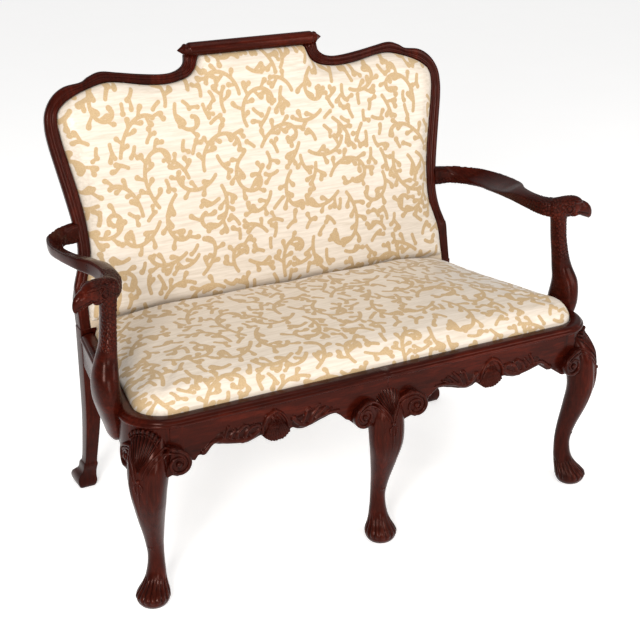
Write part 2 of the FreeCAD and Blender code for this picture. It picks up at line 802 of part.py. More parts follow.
def build_seat():
    base = ledge_height + fit_gap + cover_thickness
    top = base + seat_board
    skin = cover_thickness
    hole = skin + seat_member
    outer = seat_body(0.0, seat_rings)
    inner = seat_body(skin, seat_rings)
    turned = seat_slab(0.0, ledge_height + fit_gap, base)
    turned = turned.cut(seat_slab(cover_turn, ledge_height, base + 1))
    under = box(-700, 700, -400, 400, 0, base)
    nodes["seat_cover"] = outer.cut(inner).cut(under).fuse(turned).removeSplitter()
    nodes["seat_dust_cover"] = seat_slab(cover_turn + 4, base - dust_cloth, base)

    # Boards of the seat frame, half-lapped at their corners
    board = seat_slab(skin, base, top).cut(seat_slab(hole, base - 1, top + 1))
    opening_front = front_face + rim_width + seat_gap + hole
    opening_rear = seat_rear - hole
    lap = base + seat_board / 2
    front_zone = box(-700, 700, -400, opening_front, 0, 900)
    rear_zone = box(-700, 700, opening_rear, 400, 0, 900)
    inset = rim_width + seat_gap + hole
    a = side_point(-400, inset)
    b = side_point(400, inset)
    side_zone = prism([Vector(a.x, a.y, base - 1), Vector(b.x, b.y, base - 1),
                       Vector(800, 400, base - 1), Vector(800, -400, base - 1)],
                      Vector(0, 0, lap - base + 1))
    corner = board.common([side_zone])
    front = board.common(front_zone).cut([side_zone, mirrored(side_zone)])
    rear = board.common(rear_zone).cut([side_zone, mirrored(side_zone)])
    right = board.cut([front_zone, rear_zone]).common(box(0, 800, -400, 400, 0, 900))
    right = right.fuse(corner).removeSplitter()
    half = seat_member / 2
    tongue = 14.0
    middle = box(-half, half, opening_front, opening_rear, base, top)
    lower = box(-half, half, opening_front - tongue, opening_rear + tongue, base, lap)
    middle = middle.fuse(lower).removeSplitter()
    nodes["seat_frame_front"] = front.cut(middle)
    nodes["seat_frame_rear"] = rear.cut(middle)
    pair("seat_frame", right)
    nodes["seat_frame_middle"] = middle

    # Webbing on the boards, and the stuffing above it
    straps = []
    lip = 34.0
    for k in range(-3, 4):
        x = k * 2.6 * strap_width
        straps.append(box(x - strap_width / 2, x + strap_width / 2, opening_front - lip,
                          opening_rear + lip, top, top + strap_thickness))
    for k in range(3):
        y = opening_front + (opening_rear - opening_front) * (k + 0.5) / 3
        reach = side_point(y, inset - lip).x - 8
        straps.append(box(-reach, reach, y - strap_width / 2, y + strap_width / 2, top,
                          top + strap_thickness))
    nodes["seat_webbing"] = straps[0].fuse(straps[1:]).removeSplitter()
    nodes["seat_stuffing"] = inner.common(box(-700, 700, -400, 400, top + strap_thickness, 600))


# Rounded edge of the upholstered back: inset from its outline and share of its crown
pad_edge = [(12.0, 1.15)]


def crown_slab(front, rear):
    """A very flat barrel, curved both ways, that shapes the front of the back panel."""
    half_height = (roll_height - rim_height) / 2
    middle_z = rim_height + half_height
    swell = 12.0
    bend = 14.0
    far = (outer_points[8][0] ** 2 + bend ** 2) / (2 * bend)
    low = on_back(0, middle_z - half_height, swell - front)
    mid = on_back(0, middle_z, -front)
    high = on_back(0, middle_z + half_height, swell - front)
    low_rear = on_back(0, middle_z - half_height, rear)
    high_rear = on_back(0, middle_z + half_height, rear)
    wire = Part.Wire([arc(low, mid, high), line(high, high_rear), line(high_rear, low_rear),
                      line(low_rear, low)])
    axis_point = on_back(0, middle_z, far - front)
    axis = on_back(0, 1000) - on_back(0, 900)
    half_turn = math.degrees(560.0 / far)
    turned = Part.Face(wire)
    turned.rotate(axis_point, axis, -half_turn)
    return turned.revolve(axis_point, axis, 2 * half_turn)


def roll_room(clear):
    """The crest's roll with a clearance round it, to be kept free by what is below it."""
    centre = on_back(-roll_tip, roll_height, roll_setback)
    return Part.makeCylinder(roll_radius + clear, 2 * roll_tip, centre, Vector(1, 0, 0))


def pad_body(skin):
    """The crowned back panel, or what is inside its cover."""
    foot = lower_rail_top + fit_gap + skin
    rear = back_depth - ledge_depth
    clear = fit_gap + skin
    crown = back_crown - skin
    rings = [pad_outline(clear, rear, foot), pad_outline(clear, 3.0, foot)]
    for inset, share in pad_edge:
        rings.append(pad_outline(clear + inset, -share * crown, foot + inset * 0.4))
    return ruled_body(rings).common(crown_slab(crown, rear + 1)).cut(roll_room(clear))


def build_back():
    foot = lower_rail_top + fit_gap
    rear = back_depth - ledge_depth
    front = rear - back_board
    outer = pad_body(0.0)
    inner = pad_body(cover_thickness)
    nodes["back_cover"] = outer.cut(inner)

    # Frame of the panel, half-lapped where its members meet
    clear = fit_gap + cover_thickness
    sill = foot + cover_thickness
    board = back_slab(clear, front, rear, sill).cut(roll_room(clear + fit_gap))
    inside = shifted(inner_points, back_member)
    low = arc_chain(inside[3:10], front - 1)
    high = arc_chain(inside[13:18], front - 1)
    start = on_back(inside[3][0], sill + back_member, front - 1)
    chain = [line(start, on_back(*inside[3], front - 1))] + low
    chain += [line(on_back(*inside[9], front - 1), on_back(*inside[13], front - 1))] + high
    end = on_back(*inside[17], front - 1)
    mirror = [on_back_reversed(flip_edge(e)) for e in reversed(chain)]
    window = Part.Wire(chain + [line(end, flip(end))] + mirror + [line(flip(start), start)])
    ring = board.cut(Part.Face(window).extrude(back_normal * (back_board + 2)))
    lap = (front + rear) / 2
    lap_length = 40.0
    upper_z = inside[9][1]
    lower_z = sill + back_member
    top_zone = back_box(-700, 700, upper_z, 1300, front - 5, rear + 5)
    low_zone = back_box(-700, 700, 300, lower_z, front - 5, rear + 5)
    laps = []
    for sign in (-1, 1):
        x = sorted((sign * 390, sign * 700))
        laps.append(back_box(x[0], x[1], upper_z - 1, upper_z + lap_length, lap, rear + 5))
        laps.append(back_box(x[0], x[1], 300, lower_z + 1, lap, rear + 5))
    top = ring.common(top_zone).cut(laps)
    bottom = ring.common(low_zone).cut(laps)
    nodes["back_frame_top"] = top
    nodes["back_frame_bottom"] = bottom
    sides = ring.cut([top, bottom])
    right = sides.common(box(0, 1000, -1000, 1000, 0, 2000))
    pair("back_frame", right)

    # Webbing, stuffing and the outside board
    straps = []
    for k in range(-2, 3):
        x = k * 3.2 * strap_width
        straps.append(back_box(x - strap_width / 2, x + strap_width / 2, lower_z - 30, upper_z + 50,
                               front - strap_thickness, front))
    for k in range(3):
        z = lower_z + (upper_z - lower_z) * (k + 0.5) / 3
        straps.append(back_box(-470, 470, z - strap_width / 2, z + strap_width / 2,
                               front - strap_thickness, front))
    clip = back_slab(clear + 12, front - 3, front + 1, sill + 4)
    nodes["back_webbing"] = straps[0].fuse(straps[1:]).common(clip).removeSplitter()
    behind = back_box(-700, 700, 300, 1300, front - strap_thickness, rear + 20)
    nodes["back_stuffing"] = inner.cut(behind)
    nodes["outside_back"] = back_slab(back_ledge + fit_gap, back_depth - outside_board, back_depth,
                                      lower_rail_top + fit_gap)


def flip_edge(edge):
    return edge.mirror(Vector(0, 0, 0), Vector(1, 0, 0))


build_frame()
build_seat()
build_back()

# The origin is under the middle of the overall box
whole = Part.makeCompound(list(nodes.values())).optimalBoundingBox()
to_centre = Vector(0, -(whole.YMin + whole.YMax) / 2, 0)
print("moved in y by", round(to_centre.y, 4), "overall", round(whole.XLength, 2),
      round(whole.YLength, 2), round(whole.ZMin, 3), round(whole.ZMax, 2))

for name, shape in nodes.items():
    shape.translate(to_centre)
    shape.exportStep("parts/" + name + ".step")
    print(name, len(shape.Solids), shape.isValid(), round(shape.Volume))
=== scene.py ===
# Two-seat settee in carved mahogany: camel back, eagle-head arms, cabriole legs, drop-in seat
import math
import random
import bmesh
import bpy
import numpy as np
from mathutils import Matrix, Vector
from mathutils.bvhtree import BVHTree
from mathutils.kdtree import KDTree


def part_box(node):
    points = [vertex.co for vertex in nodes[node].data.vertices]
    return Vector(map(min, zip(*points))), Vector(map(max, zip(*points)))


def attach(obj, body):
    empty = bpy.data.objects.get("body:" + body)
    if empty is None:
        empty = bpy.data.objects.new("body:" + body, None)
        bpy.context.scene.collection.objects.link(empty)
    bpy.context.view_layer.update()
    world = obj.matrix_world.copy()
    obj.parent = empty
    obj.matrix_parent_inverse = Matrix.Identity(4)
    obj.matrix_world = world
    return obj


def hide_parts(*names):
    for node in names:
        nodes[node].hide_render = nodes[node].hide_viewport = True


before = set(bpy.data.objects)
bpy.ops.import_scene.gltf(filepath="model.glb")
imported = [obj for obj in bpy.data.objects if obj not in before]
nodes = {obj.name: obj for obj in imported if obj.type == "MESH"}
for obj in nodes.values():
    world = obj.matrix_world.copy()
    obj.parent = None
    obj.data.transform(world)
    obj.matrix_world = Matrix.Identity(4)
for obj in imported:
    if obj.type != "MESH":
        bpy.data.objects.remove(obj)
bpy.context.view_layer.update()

# the drawing's y is counted from the settee's own seat plan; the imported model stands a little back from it
backFoot = 0.197
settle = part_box("rear_cleat")[1].y - backFoot
upward = Vector((0, 0, 1))
forward = Vector((0, -1, 0))
rightward = Vector((1, 0, 0))


def at(x, y, z):
    return Vector((x, y + settle, z))


def smooth(a, b, t):
    t = min(1.0, max(0.0, (t - a) / (b - a)))
    return t * t * (3 - 2 * t)


def bump(d, r):
    # section of a rounded ridge: 1 on its line, 0 at its edge
    return math.sqrt(max(0.0, 1 - (d / r) ** 2))


def bell(x, middle, wide):
    return math.exp(-((x - middle) / wide) ** 2)


# paths through a few points
def throughPoints(points, steps):
    # a smooth run through all the points, its ends kept
    p = [Vector(q) for q in points]
    p = [p[0] * 2 - p[1]] + p + [p[-1] * 2 - p[-2]]
    run = []
    for a, b, c, d in zip(p, p[1:], p[2:], p[3:]):
        for j in range(steps):
            t = j / steps
            run.append(0.5 * ((2 * b) + (c - a) * t + (2 * a - 5 * b + 4 * c - d) * t * t
                              + (3 * b - a - 3 * c + d) * t ** 3))
    run.append(p[-2])
    return run


def flatCurve(points, steps):
    return throughPoints([(*p[:2], 0) for p in points], steps)


def evenly(points, count):
    # the same run, with a given number of points at even distances
    lengths = [0.0]
    for a, b in zip(points[:-1], points[1:]):
        lengths.append(lengths[-1] + (b - a).length)
    out, k = [], 0
    for j in range(count):
        want = lengths[-1] * j / (count - 1)
        while k < len(points) - 2 and lengths[k + 1] < want:
            k += 1
        span = lengths[k + 1] - lengths[k]
        out.append(points[k].lerp(points[k + 1], (want - lengths[k]) / span if span else 0))
    return out


def evenSizes(sizes, count):
    return [p.x for p in evenly([Vector((size, 0, 0)) for size in sizes], count)]


def mirrored(points):
    return [Vector((-p.x, p.y, p.z)) for p in reversed(points)]


def between(a, b, span):
    # the points between two others, without the ends
    return [a.lerp(b, k / span) for k in range(1, span)]


def eased(t, low, high, lowSlope, highSlope):
    # a value between two others, with its slope given at both
    return ((2 * t ** 3 - 3 * t * t + 1) * low + (t ** 3 - 2 * t * t + t) * lowSlope
            + (-2 * t ** 3 + 3 * t * t) * high + (t ** 3 - t * t) * highSlope)


def tableAt(rows, z):
    # a row of sizes at a height, eased between the rows of a table
    last = len(rows) - 1
    if z <= rows[0][0]:
        return rows[0][1:]
    if z >= rows[last][0]:
        return rows[last][1:]
    k = max(i for i in range(last) if rows[i][0] <= z)
    h = rows[k + 1][0] - rows[k][0]

    def slope(i, c):
        low, high = rows[max(i - 1, 0)], rows[min(i + 1, last)]
        return (high[c] - low[c]) / (high[0] - low[0])
    return [eased((z - rows[k][0]) / h, rows[k][c], rows[k + 1][c], slope(k, c) * h, slope(k + 1, c) * h)
            for c in range(1, len(rows[0]))]


# a ring of points is drawn once, then extruded from station to station
def startRing(bm, points):
    ring = [bm.verts.new(p) for p in points]
    for pair in zip(ring, ring[1:] + ring[:1]):
        bm.edges.new(pair)
    return ring


def nextRing(bm, ring, points):
    ends = set(ring)
    edges = {e for v in ring for e in v.link_edges if e.other_vert(v) in ends}
    made = bmesh.ops.extrude_edge_only(bm, edges=list(edges))["geom"]
    fresh = {g for g in made if isinstance(g, bmesh.types.BMVert)}
    step = []
    for v, p in zip(ring, points):
        w = next(e.other_vert(v) for e in v.link_edges if e.other_vert(v) in fresh)
        w.co = p
        step.append(w)
    return step


def sweep(bm, rings, caps=True, tones=None):
    # tones, where given, go to the carving's own layer: 0 deep, darkened with painted shade, 0.5 plain, 1
    # rubbed heights, lightened with a painted highlight
    layer = bm.verts.layers.float.get("relief")
    first = ring = startRing(bm, rings[0])
    for k, points in enumerate(rings):
        if k:
            ring = nextRing(bm, ring, points)
        for v, tone in zip(ring, tones[k] if tones else ()):
            v[layer] = tone
    if caps:
        bm.faces.new(first)
        bm.faces.new(ring)


def carvedMesh():
    bm = bmesh.new()
    bm.verts.layers.float.new("relief")
    return bm


def mirrorCopy(bm):
    # adds the left-hand half of what is drawn on the right
    made = bmesh.ops.duplicate(bm, geom=bm.verts[:] + bm.edges[:] + bm.faces[:])["geom"]
    bmesh.ops.scale(bm, vec=(-1, 1, 1), verts=[g for g in made if isinstance(g, bmesh.types.BMVert)])
    bmesh.ops.reverse_faces(bm, faces=[g for g in made if isinstance(g, bmesh.types.BMFace)])


def newPiece(bm, name):
    mesh = bpy.data.meshes.new(name)
    bm.to_mesh(mesh)
    bm.free()
    piece = bpy.data.objects.new(name, mesh)
    bpy.context.scene.collection.objects.link(piece)
    return piece


def dress(piece, material, body, replaced=()):
    piece.data.materials.append(material)
    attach(piece, body)
    if replaced:
        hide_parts(*replaced)
    return piece


def finishMesh(bm, name, material, replaced=(), sharp=None):
    # a piece of the frame; sharp is the angle from which its edges stay crisp
    bmesh.ops.recalc_face_normals(bm, faces=bm.faces)
    piece = newPiece(bm, name)
    piece.data.shade_smooth()
    if sharp:
        piece.data.set_sharp_from_angle(angle=math.radians(sharp))
    return dress(piece, material, "frame", replaced)


def applyAll(piece):
    shown = piece.evaluated_get(bpy.context.evaluated_depsgraph_get())
    made = bpy.data.meshes.new_from_object(shown)
    piece.modifiers.clear()
    old = piece.data
    piece.data = made
    bpy.data.meshes.remove(old)


def evenMesh(piece, voxel):
    remesh = piece.modifiers.new("even", "REMESH")
    remesh.mode = "VOXEL"
    remesh.voxel_size = voxel
    applyAll(piece)


def kdTree(points):
    tree = KDTree(len(points))
    for k, p in enumerate(points):
        tree.insert(p, k)
    tree.balance()
    return tree



# materials: a node is added with what feeds it, and with its own values
def newMaterial(name):
    material = bpy.data.materials.new(name)
    material.use_nodes = True
    tree = material.node_tree

    def fill(node, feeds, values):
        for key, value in values.items():
            if hasattr(node, key):
                setattr(node, key, value)
            else:
                node.inputs[key.replace("_", " ")].default_value = value
        for key, source in feeds.items():
            tree.links.new(source, node.inputs[key])

    def add(kind, feeds, **values):
        node = tree.nodes.new("ShaderNode" + kind)
        fill(node, feeds, values)
        return node.outputs["Fac"] if "Fac" in node.outputs else node.outputs[0]

    def ramp(source, stops):
        node = tree.nodes.new("ShaderNodeValToRGB")
        tree.links.new(source, node.inputs[0])
        while len(node.color_ramp.elements) < len(stops):
            node.color_ramp.elements.new(0.5)
        for element, (place, colour) in zip(node.color_ramp.elements, stops):
            element.position = place
            element.color = (*colour, 1)
        return node.outputs[0]

    def shade(feeds, **values):
        fill(tree.nodes["Principled BSDF"], feeds, values)
        return material
    place = tree.nodes.new("ShaderNodeTexCoord").outputs["Object"]
    return add, ramp, shade, place


def mix(add, kind, a, b, share, **values):
    # the mix node keeps two inputs and an output for each kind of value
    first, output = {"FLOAT": (2, 0), "RGBA": (6, 2)}[kind]
    node = add("Mix", {first: a, first + 1: b}, data_type=kind, **values).node
    if isinstance(share, float):
        node.inputs[0].default_value = share
    else:
        node.id_data.links.new(share, node.inputs[0])
    return node.outputs[output]


def alongGrain(add, place, along, length):
    # shrinks the pattern's space along the grain, which draws the figure out
    return add("Mapping", {"Vector": place}, Scale=[length if axis == along else 1.0 for axis in "xyz"])


mahoganyLook = {
    "tones": [(0.34, (0.008, 0.0011, 0.0007)), (0.52, (0.027, 0.0030, 0.0014)),
              (0.72, (0.074, 0.0080, 0.0032))],
    "grainLength": 0.16, "broad": 14.0, "fine": 170.0, "fineShare": 0.42,
    "roughness": (0.17, 0.34), "specular": 0.11, "tint": (1.0, 0.50, 0.40, 1), "coat": 0.03,
    # the carving's tone on the colour: painted shade in recesses, plain wood, and a painted highlight on the
    # heights, partly patina and polish wear
    "paintedLightAndWear": [(0.0, (0.10, 0.10, 0.10)), (0.5, (1.0, 1.0, 1.0)), (1.0, (1.25, 1.75, 1.9))],
}


def mahogany(name, along, carved=False):
    look = mahoganyLook
    add, ramp, shade, place = newMaterial(name)
    space = alongGrain(add, place, along, look["grainLength"])
    broad = add("TexNoise", {"Vector": space}, Scale=look["broad"], Detail=4.0, Roughness=0.6, Distortion=0.6)
    fine = add("TexNoise", {"Vector": space}, Scale=look["fine"], Detail=5.0, Roughness=0.65)
    tone = ramp(mix(add, "FLOAT", broad, fine, look["fineShare"]), look["tones"])
    if carved:
        # carved wood takes painted shade in its recesses and a painted highlight on its heights, partly
        # patina and wear
        paintedLightAndWear = ramp(add("Attribute", {}, attribute_name="relief"), look["paintedLightAndWear"])
        tone = mix(add, "RGBA", tone, paintedLightAndWear, 1.0, blend_type="MULTIPLY")
    wear = add("TexNoise", {"Vector": place}, Scale=9.0, Detail=3.0)
    low, high = look["roughness"]
    gloss = add("MapRange", {"Value": wear}, To_Min=low, To_Max=high)
    pores = add("Bump", {"Height": fine}, Strength=0.06, Distance=0.0006)
    return shade({"Base Color": tone, "Roughness": gloss, "Normal": pores}, Coat_Weight=look["coat"],
                 Coat_Roughness=0.08, Specular_IOR_Level=look["specular"], Specular_Tint=look["tint"])


def paleWood(name, along):
    add, ramp, shade, place = newMaterial(name)
    rings = add("TexWave", {"Vector": alongGrain(add, place, along, 0.12)}, Scale=24.0, Distortion=5.0,
                Detail=3.0, Detail_Scale=1.4)
    tone = ramp(rings, [(0.1, (0.30, 0.17, 0.075)), (0.55, (0.47, 0.30, 0.15)), (0.95, (0.58, 0.40, 0.22))])
    pores = add("Bump", {"Height": rings}, Strength=0.25, Distance=0.0005)
    return shade({"Base Color": tone, "Normal": pores}, Roughness=0.68)


def weave(add, place, scale, wander, operation):
    # two crossed sets of fine ribs
    ribs = [add("TexWave", {"Vector": place}, wave_type="BANDS", bands_direction=axis, Scale=scale,
                Distortion=wander) for axis in "XY"]
    return add("Math", dict(enumerate(ribs)), operation=operation)


damaskLook = {
    "ground": [(0.35, (0.53, 0.450, 0.360)), (0.6, (0.63, 0.556, 0.475))],
    "motif": [(0.3, (0.390, 0.265, 0.132)), (0.7, (0.475, 0.340, 0.192))],
    "edge": 0.0009, "slub": (0.5, 6.0, 6.0), "roughness": (0.36, 0.78), "ribs": 260.0,
}


def damask(name):
    # satin ground with a matt woven branch pattern; the distance to it is stored on the cloth in metres
    look = damaskLook
    add, ramp, shade, place = newMaterial(name)
    inside = add("MapRange", {"Value": add("Attribute", {}, attribute_name="motif")},
                 interpolation_type="SMOOTHSTEP", From_Min=look["edge"], From_Max=-look["edge"])
    drawn = add("Mapping", {"Vector": place}, Scale=look["slub"])
    ground = ramp(add("TexNoise", {"Vector": drawn}, Scale=26.0, Detail=4.0, Roughness=0.7), look["ground"])
    gold = ramp(add("TexNoise", {"Vector": place}, Scale=420.0, Detail=2.0), look["motif"])
    cloth = mix(add, "RGBA", ground, gold, inside)
    low, high = look["roughness"]
    matt = add("MapRange", {"Value": inside}, To_Min=low, To_Max=high)
    fine = add("Bump", {"Height": weave(add, place, look["ribs"], 0.6, "MULTIPLY")}, Strength=0.12,
               Distance=0.0004)
    raised = add("Bump", {"Height": inside, "Normal": fine}, Strength=0.5, Distance=0.0007)
    return shade({"Base Color": cloth, "Roughness": matt, "Normal": raised}, Sheen_Weight=0.25,
                 Sheen_Roughness=0.35, Specular_IOR_Level=0.5)


def plainCloth(name, light, dark, scale):
    add, ramp, shade, place = newMaterial(name)
    threads = weave(add, place, scale, 1.0, "MAXIMUM")
    blot = add("TexNoise", {"Vector": place}, Scale=30.0, Detail=5.0)
    both = add("Math", {0: threads, 1: blot}, operation="MULTIPLY")
    rough = add("Bump", {"Height": threads}, Strength=0.4, Distance=0.0006)
    return shade({"Base Color": ramp(both, [(0.1, dark), (0.6, light)]), "Normal": rough}, Roughness=0.88)


woodAlongX = mahogany("mahoganyRails", "x")
woodAlongY = mahogany("mahoganySides", "y")
woodAlongZ = mahogany("mahoganyPosts", "z")
carvedUp = mahogany("mahoganyCarvedLegs", "z", carved=True)
carvedAlong = mahogany("mahoganyCarvedRails", "x", carved=True)
carvedArms = mahogany("mahoganyCarvedArms", "y", carved=True)
beechX = paleWood("beechAcross", "x")
beechY = paleWood("beechDeep", "y")
beechZ = paleWood("beechUpright", "z")
silk = damask("ivoryDamask")
jute = plainCloth("juteWebbing", (0.40, 0.29, 0.16), (0.22, 0.14, 0.07), 110.0)
cambric = plainCloth("blackCambric", (0.035, 0.033, 0.032), (0.012, 0.012, 0.012), 240.0)
padding = plainCloth("hairPadding", (0.50, 0.46, 0.40), (0.30, 0.26, 0.21), 90.0)

# a node takes the finish whose name is the longest start of its own; the rest are upright mahogany
finishes = {
    woodAlongX: ["crest_rail", "rear_seat_rail", "front_seat_rail"],
    woodAlongY: ["side_seat_rail", "arm_left", "arm_right"],
    beechX: ["rear_cleat", "seat_frame_front", "seat_frame_rear", "back_frame_top", "back_frame_bottom"],
    beechY: ["seat_centre_brace", "seat_frame"],
    beechZ: ["corner_block", "back_frame"],
    silk: ["back_lower_rail", "seat_cover", "back_cover", "outside_back"],
    jute: ["seat_webbing", "back_webbing"], cambric: ["seat_dust_cover"],
    padding: ["seat_stuffing", "back_stuffing"],
}
for name, node in nodes.items():
    starts = [(len(key), material.name) for material, keys in finishes.items() for key in keys
              if name.startswith(key)]
    node.data.materials.clear()
    node.data.materials.append(bpy.data.materials[max(starts)[1]] if starts else woodAlongZ)
print("finishes set on", len(nodes), "nodes")

# the back's outlines, half width and height, on a plane that leans back
backPlane = {"foot": backFoot, "rimHeight": 0.430, "rake": math.radians(11.35), "depth": 0.034}
outerLine = [
    (0.514, 0.434), (0.514, 0.500), (0.514, 0.532), (0.509, 0.551), (0.500, 0.576), (0.494, 0.605),
    (0.492, 0.640), (0.498, 0.690), (0.508, 0.750), (0.520, 0.815), (0.528, 0.860), (0.531, 0.897),
    (0.526, 0.932), (0.506, 0.964), (0.475, 0.984), (0.433, 0.991), (0.414, 1.001), (0.385, 1.0095),
    (0.345, 1.004), (0.295, 0.996), (0.240, 0.990), (0.205, 0.9925), (0.181, 1.006), (0.176, 1.030)]
innerLine = [
    (0.489, 0.434), (0.489, 0.470), (0.488, 0.505), (0.486, 0.533), (0.475, 0.572), (0.464, 0.612),
    (0.465, 0.675), (0.473, 0.740), (0.487, 0.813), (0.499, 0.880), (0.499, 0.925), (0.480, 0.948),
    (0.448, 0.965), (0.412, 0.977), (0.376, 0.9845), (0.338, 0.981), (0.272, 0.969), (0.210, 0.968),
    (0.160, 0.985), (0.138, 1.030)]


def onBack(x, z, deep=0.0):
    lean = backPlane["rake"]
    rise = (z - backPlane["rimHeight"]) / math.cos(lean)
    return at(x, backPlane["foot"] + rise * math.sin(lean) + deep * math.cos(lean),
              backPlane["rimHeight"] + rise * math.cos(lean) - deep * math.sin(lean))


mouldingLook = {
    "outerPoints": 600, "innerPoints": 520, "every": 3, "window": 60, "evened": 6, "across": 34,
    "edgeRound": 0.005, "edgeShare": 0.8, "reedDepth": 0.002835, "reeds": 3.5, "proud": 0.0004,
    # each rounded band: its middle and half width as shares of the moulding, and its height
    "bands": ((0.30, 0.245, 1.0), (0.70, 0.135, 0.75), (0.90, 0.055, 0.4)),
    "step": (0.538, 0.546), "neckWidth": (0.20, 0.185), "neckHeight": (0.96, 0.99),
    "rebate": 0.010, "rebateDepth": 0.022, "bevel": 0.013, "bevelRise": (0.50, 0.56), "side": (0.014, 0.007),
}


def mouldingRing(o, i):
    # plain and square below the step, banded above it, and reeded on the neck beside the roll
    look = mouldingLook
    moulded = smooth(*look["step"], o.y)
    neck = smooth(*look["neckWidth"], o.x) * smooth(*look["neckHeight"], o.y)
    r = look["edgeRound"]
    ring = []
    for s in range(look["across"] + 1):
        w = s / look["across"]
        p = o.lerp(i, w)
        edge = min(w, 1 - w) * (o - i).length
        drop = r - math.sqrt(max(0.0, r * r - max(0.0, r - edge) ** 2))
        bands = max(high * bump(w - middle, half) for middle, half, high in look["bands"])
        reeds = 0.5 + 0.5 * math.cos(w * math.tau * look["reeds"])
        shape = bands * (1 - neck) + reeds * neck
        deep = drop * look["edgeShare"] + look["reedDepth"] * moulded * (1 - shape)
        ring.append(onBack(p.x, p.y, deep - look["proud"]))
    # the rear: rebate of the panel inside, bevel outside
    across = (i - o).normalized()
    q = i + across * look["rebate"]
    b = o + across * look["bevel"] * smooth(*look["bevelRise"], o.y)
    rear = [(i, look["rebateDepth"]), (q, look["rebateDepth"]), (q, backPlane["depth"]),
            (b, backPlane["depth"])] + [(o, deep) for deep in look["side"]]
    return ring + [onBack(p.x, p.y, deep) for p, deep in rear]


def buildBackFrame():
    look = mouldingLook
    outer = evenly(flatCurve(outerLine, 24), look["outerPoints"])
    inner = evenly(flatCurve(innerLine, 24), look["innerPoints"])
    # each station joins a point of the outer outline to the nearest one of the inner outline, in order
    stations = outer[::look["every"]]
    partners, last = [], 0
    for o in stations:
        window = range(last, min(len(inner), last + look["window"]))
        last = min(window, key=lambda n: (inner[n] - o).length)
        partners.append(last)
    for _ in range(look["evened"]):
        middle = [(a + 2 * b + c) / 4 for a, b, c in zip(partners, partners[1:], partners[2:])]
        partners = [partners[0]] + middle + [partners[-1]]
    partners[-1] = len(inner) - 1
    rings = []
    for o, n in zip(stations, partners):
        low = int(n)
        rings.append(mouldingRing(o, inner[low].lerp(inner[min(low + 1, len(inner) - 1)], n - low)))
    bm = bmesh.new()
    sweep(bm, rings)
    mirrorCopy(bm)
    return finishMesh(bm, "backShowFrame", woodAlongZ, replaced=("crest_rail",))


rollLook = {
    "height": 1.0385, "setback": 0.005, "radius": 0.0163, "half": 0.167, "facets": 56,
    # distance past the end of the plain roll, radius as a share of the roll's
    "profile": [(-0.010, 1), (-0.006, 0.99), (-0.003, 0.93), (-0.001, 0.80), (0.001, 0.76), (0.003, 0.84),
                (0.006, 0.88), (0.009, 0.80), (0.011, 0.62), (0.014, 0.50), (0.018, 0.34), (0.022, 0.18),
                (0.0255, 0.0)],
}


def buildRoll():
    # rolled top of the crest, turned with rings and a point at each end
    look = rollLook
    profile = [(0, look["radius"])] + [(look["half"] + x, look["radius"] * r) for x, r in look["profile"]]
    centre = onBack(0, look["height"], look["setback"])
    bm = bmesh.new()
    chain = [bm.verts.new(centre + Vector((x, 0, r))) for x, r in profile]
    edges = [bm.edges.new(pair) for pair in zip(chain[:-1], chain[1:])]
    bmesh.ops.spin(bm, geom=chain + edges, cent=centre, axis=(1, 0, 0), angle=math.tau,
                   steps=look["facets"], use_merge=True)
    bmesh.ops.remove_doubles(bm, verts=bm.verts, dist=1e-6)
    mirrorCopy(bm)
    bmesh.ops.remove_doubles(bm, verts=bm.verts, dist=1e-6)
    return finishMesh(bm, "crestRoll", woodAlongX)


buildBackFrame()
buildRoll()
print("back frame made")

# rear legs: square, raked, with a foot that turns out
rearLegLook = {
    "step": 0.006, "steps": 74, "ankle": {0.0695, 0.0712}, "eased": 0.0035, "footEased": 0.0055,
    "footTop": 0.004, "cornerFacets": 4,
    # height, middle x, middle y, half sizes
    "rows": [(0.000, 0.508, 0.276, 0.020, 0.026), (0.012, 0.508, 0.278, 0.024, 0.031),
             (0.028, 0.508, 0.275, 0.023, 0.028), (0.046, 0.503, 0.263, 0.018, 0.020),
             (0.066, 0.501, 0.255, 0.018, 0.019), (0.073, 0.500, 0.252, 0.0155, 0.016),
             (0.105, 0.499, 0.243, 0.0155, 0.016), (0.210, 0.497, 0.221, 0.018, 0.0185),
             (0.334, 0.495, 0.217, 0.020, 0.020), (0.440, 0.495, 0.217, 0.020, 0.020)],
}


def softSquare(centre, halfX, halfY, corner):
    steps = rearLegLook["cornerFacets"]
    ring = []
    for sx, sy, start in ((1, 1, 0), (-1, 1, 90), (-1, -1, 180), (1, -1, 270)):
        for k in range(steps + 1):
            a = math.radians(start + 90 * k / steps)
            ring.append(centre + Vector((sx * (halfX - corner) + corner * math.cos(a),
                                         sy * (halfY - corner) + corner * math.sin(a), 0)))
    return ring


def buildRearLegs():
    look = rearLegLook
    rings = []
    for z in sorted({r[0] for r in look["rows"]} | {k * look["step"] for k in range(look["steps"])}
                    | look["ankle"]):
        x, y, halfX, halfY = tableAt(look["rows"], z)
        corner = look["eased"] if z > look["footTop"] else look["footEased"]
        rings.append(softSquare(at(x, y, z), halfX, halfY, corner))
    bm = bmesh.new()
    sweep(bm, rings)
    mirrorCopy(bm)
    return finishMesh(bm, "rearLegs", woodAlongZ, replaced=("rear_post_left", "rear_post_right"))


buildRearLegs()

# plan of the seat frame: a straight front, round corners, sides that close in towards the rear
seatPlan = {"front": -0.332, "halfWidth": 0.588, "sideStart": -0.232, "rearHalf": 0.518, "foot": backFoot,
            "corner": 0.097, "leastCorner": 0.03}
sideWay = Vector((seatPlan["rearHalf"] - seatPlan["halfWidth"], seatPlan["foot"] - seatPlan["sideStart"],
                  0)).normalized()
sideOut = Vector((sideWay.y, -sideWay.x, 0))


def sidePoint(y, inset, z=0.0):
    start = Vector((seatPlan["halfWidth"], seatPlan["sideStart"], z)) - sideOut * inset
    return start + sideWay * ((y - start.y) / sideWay.y)


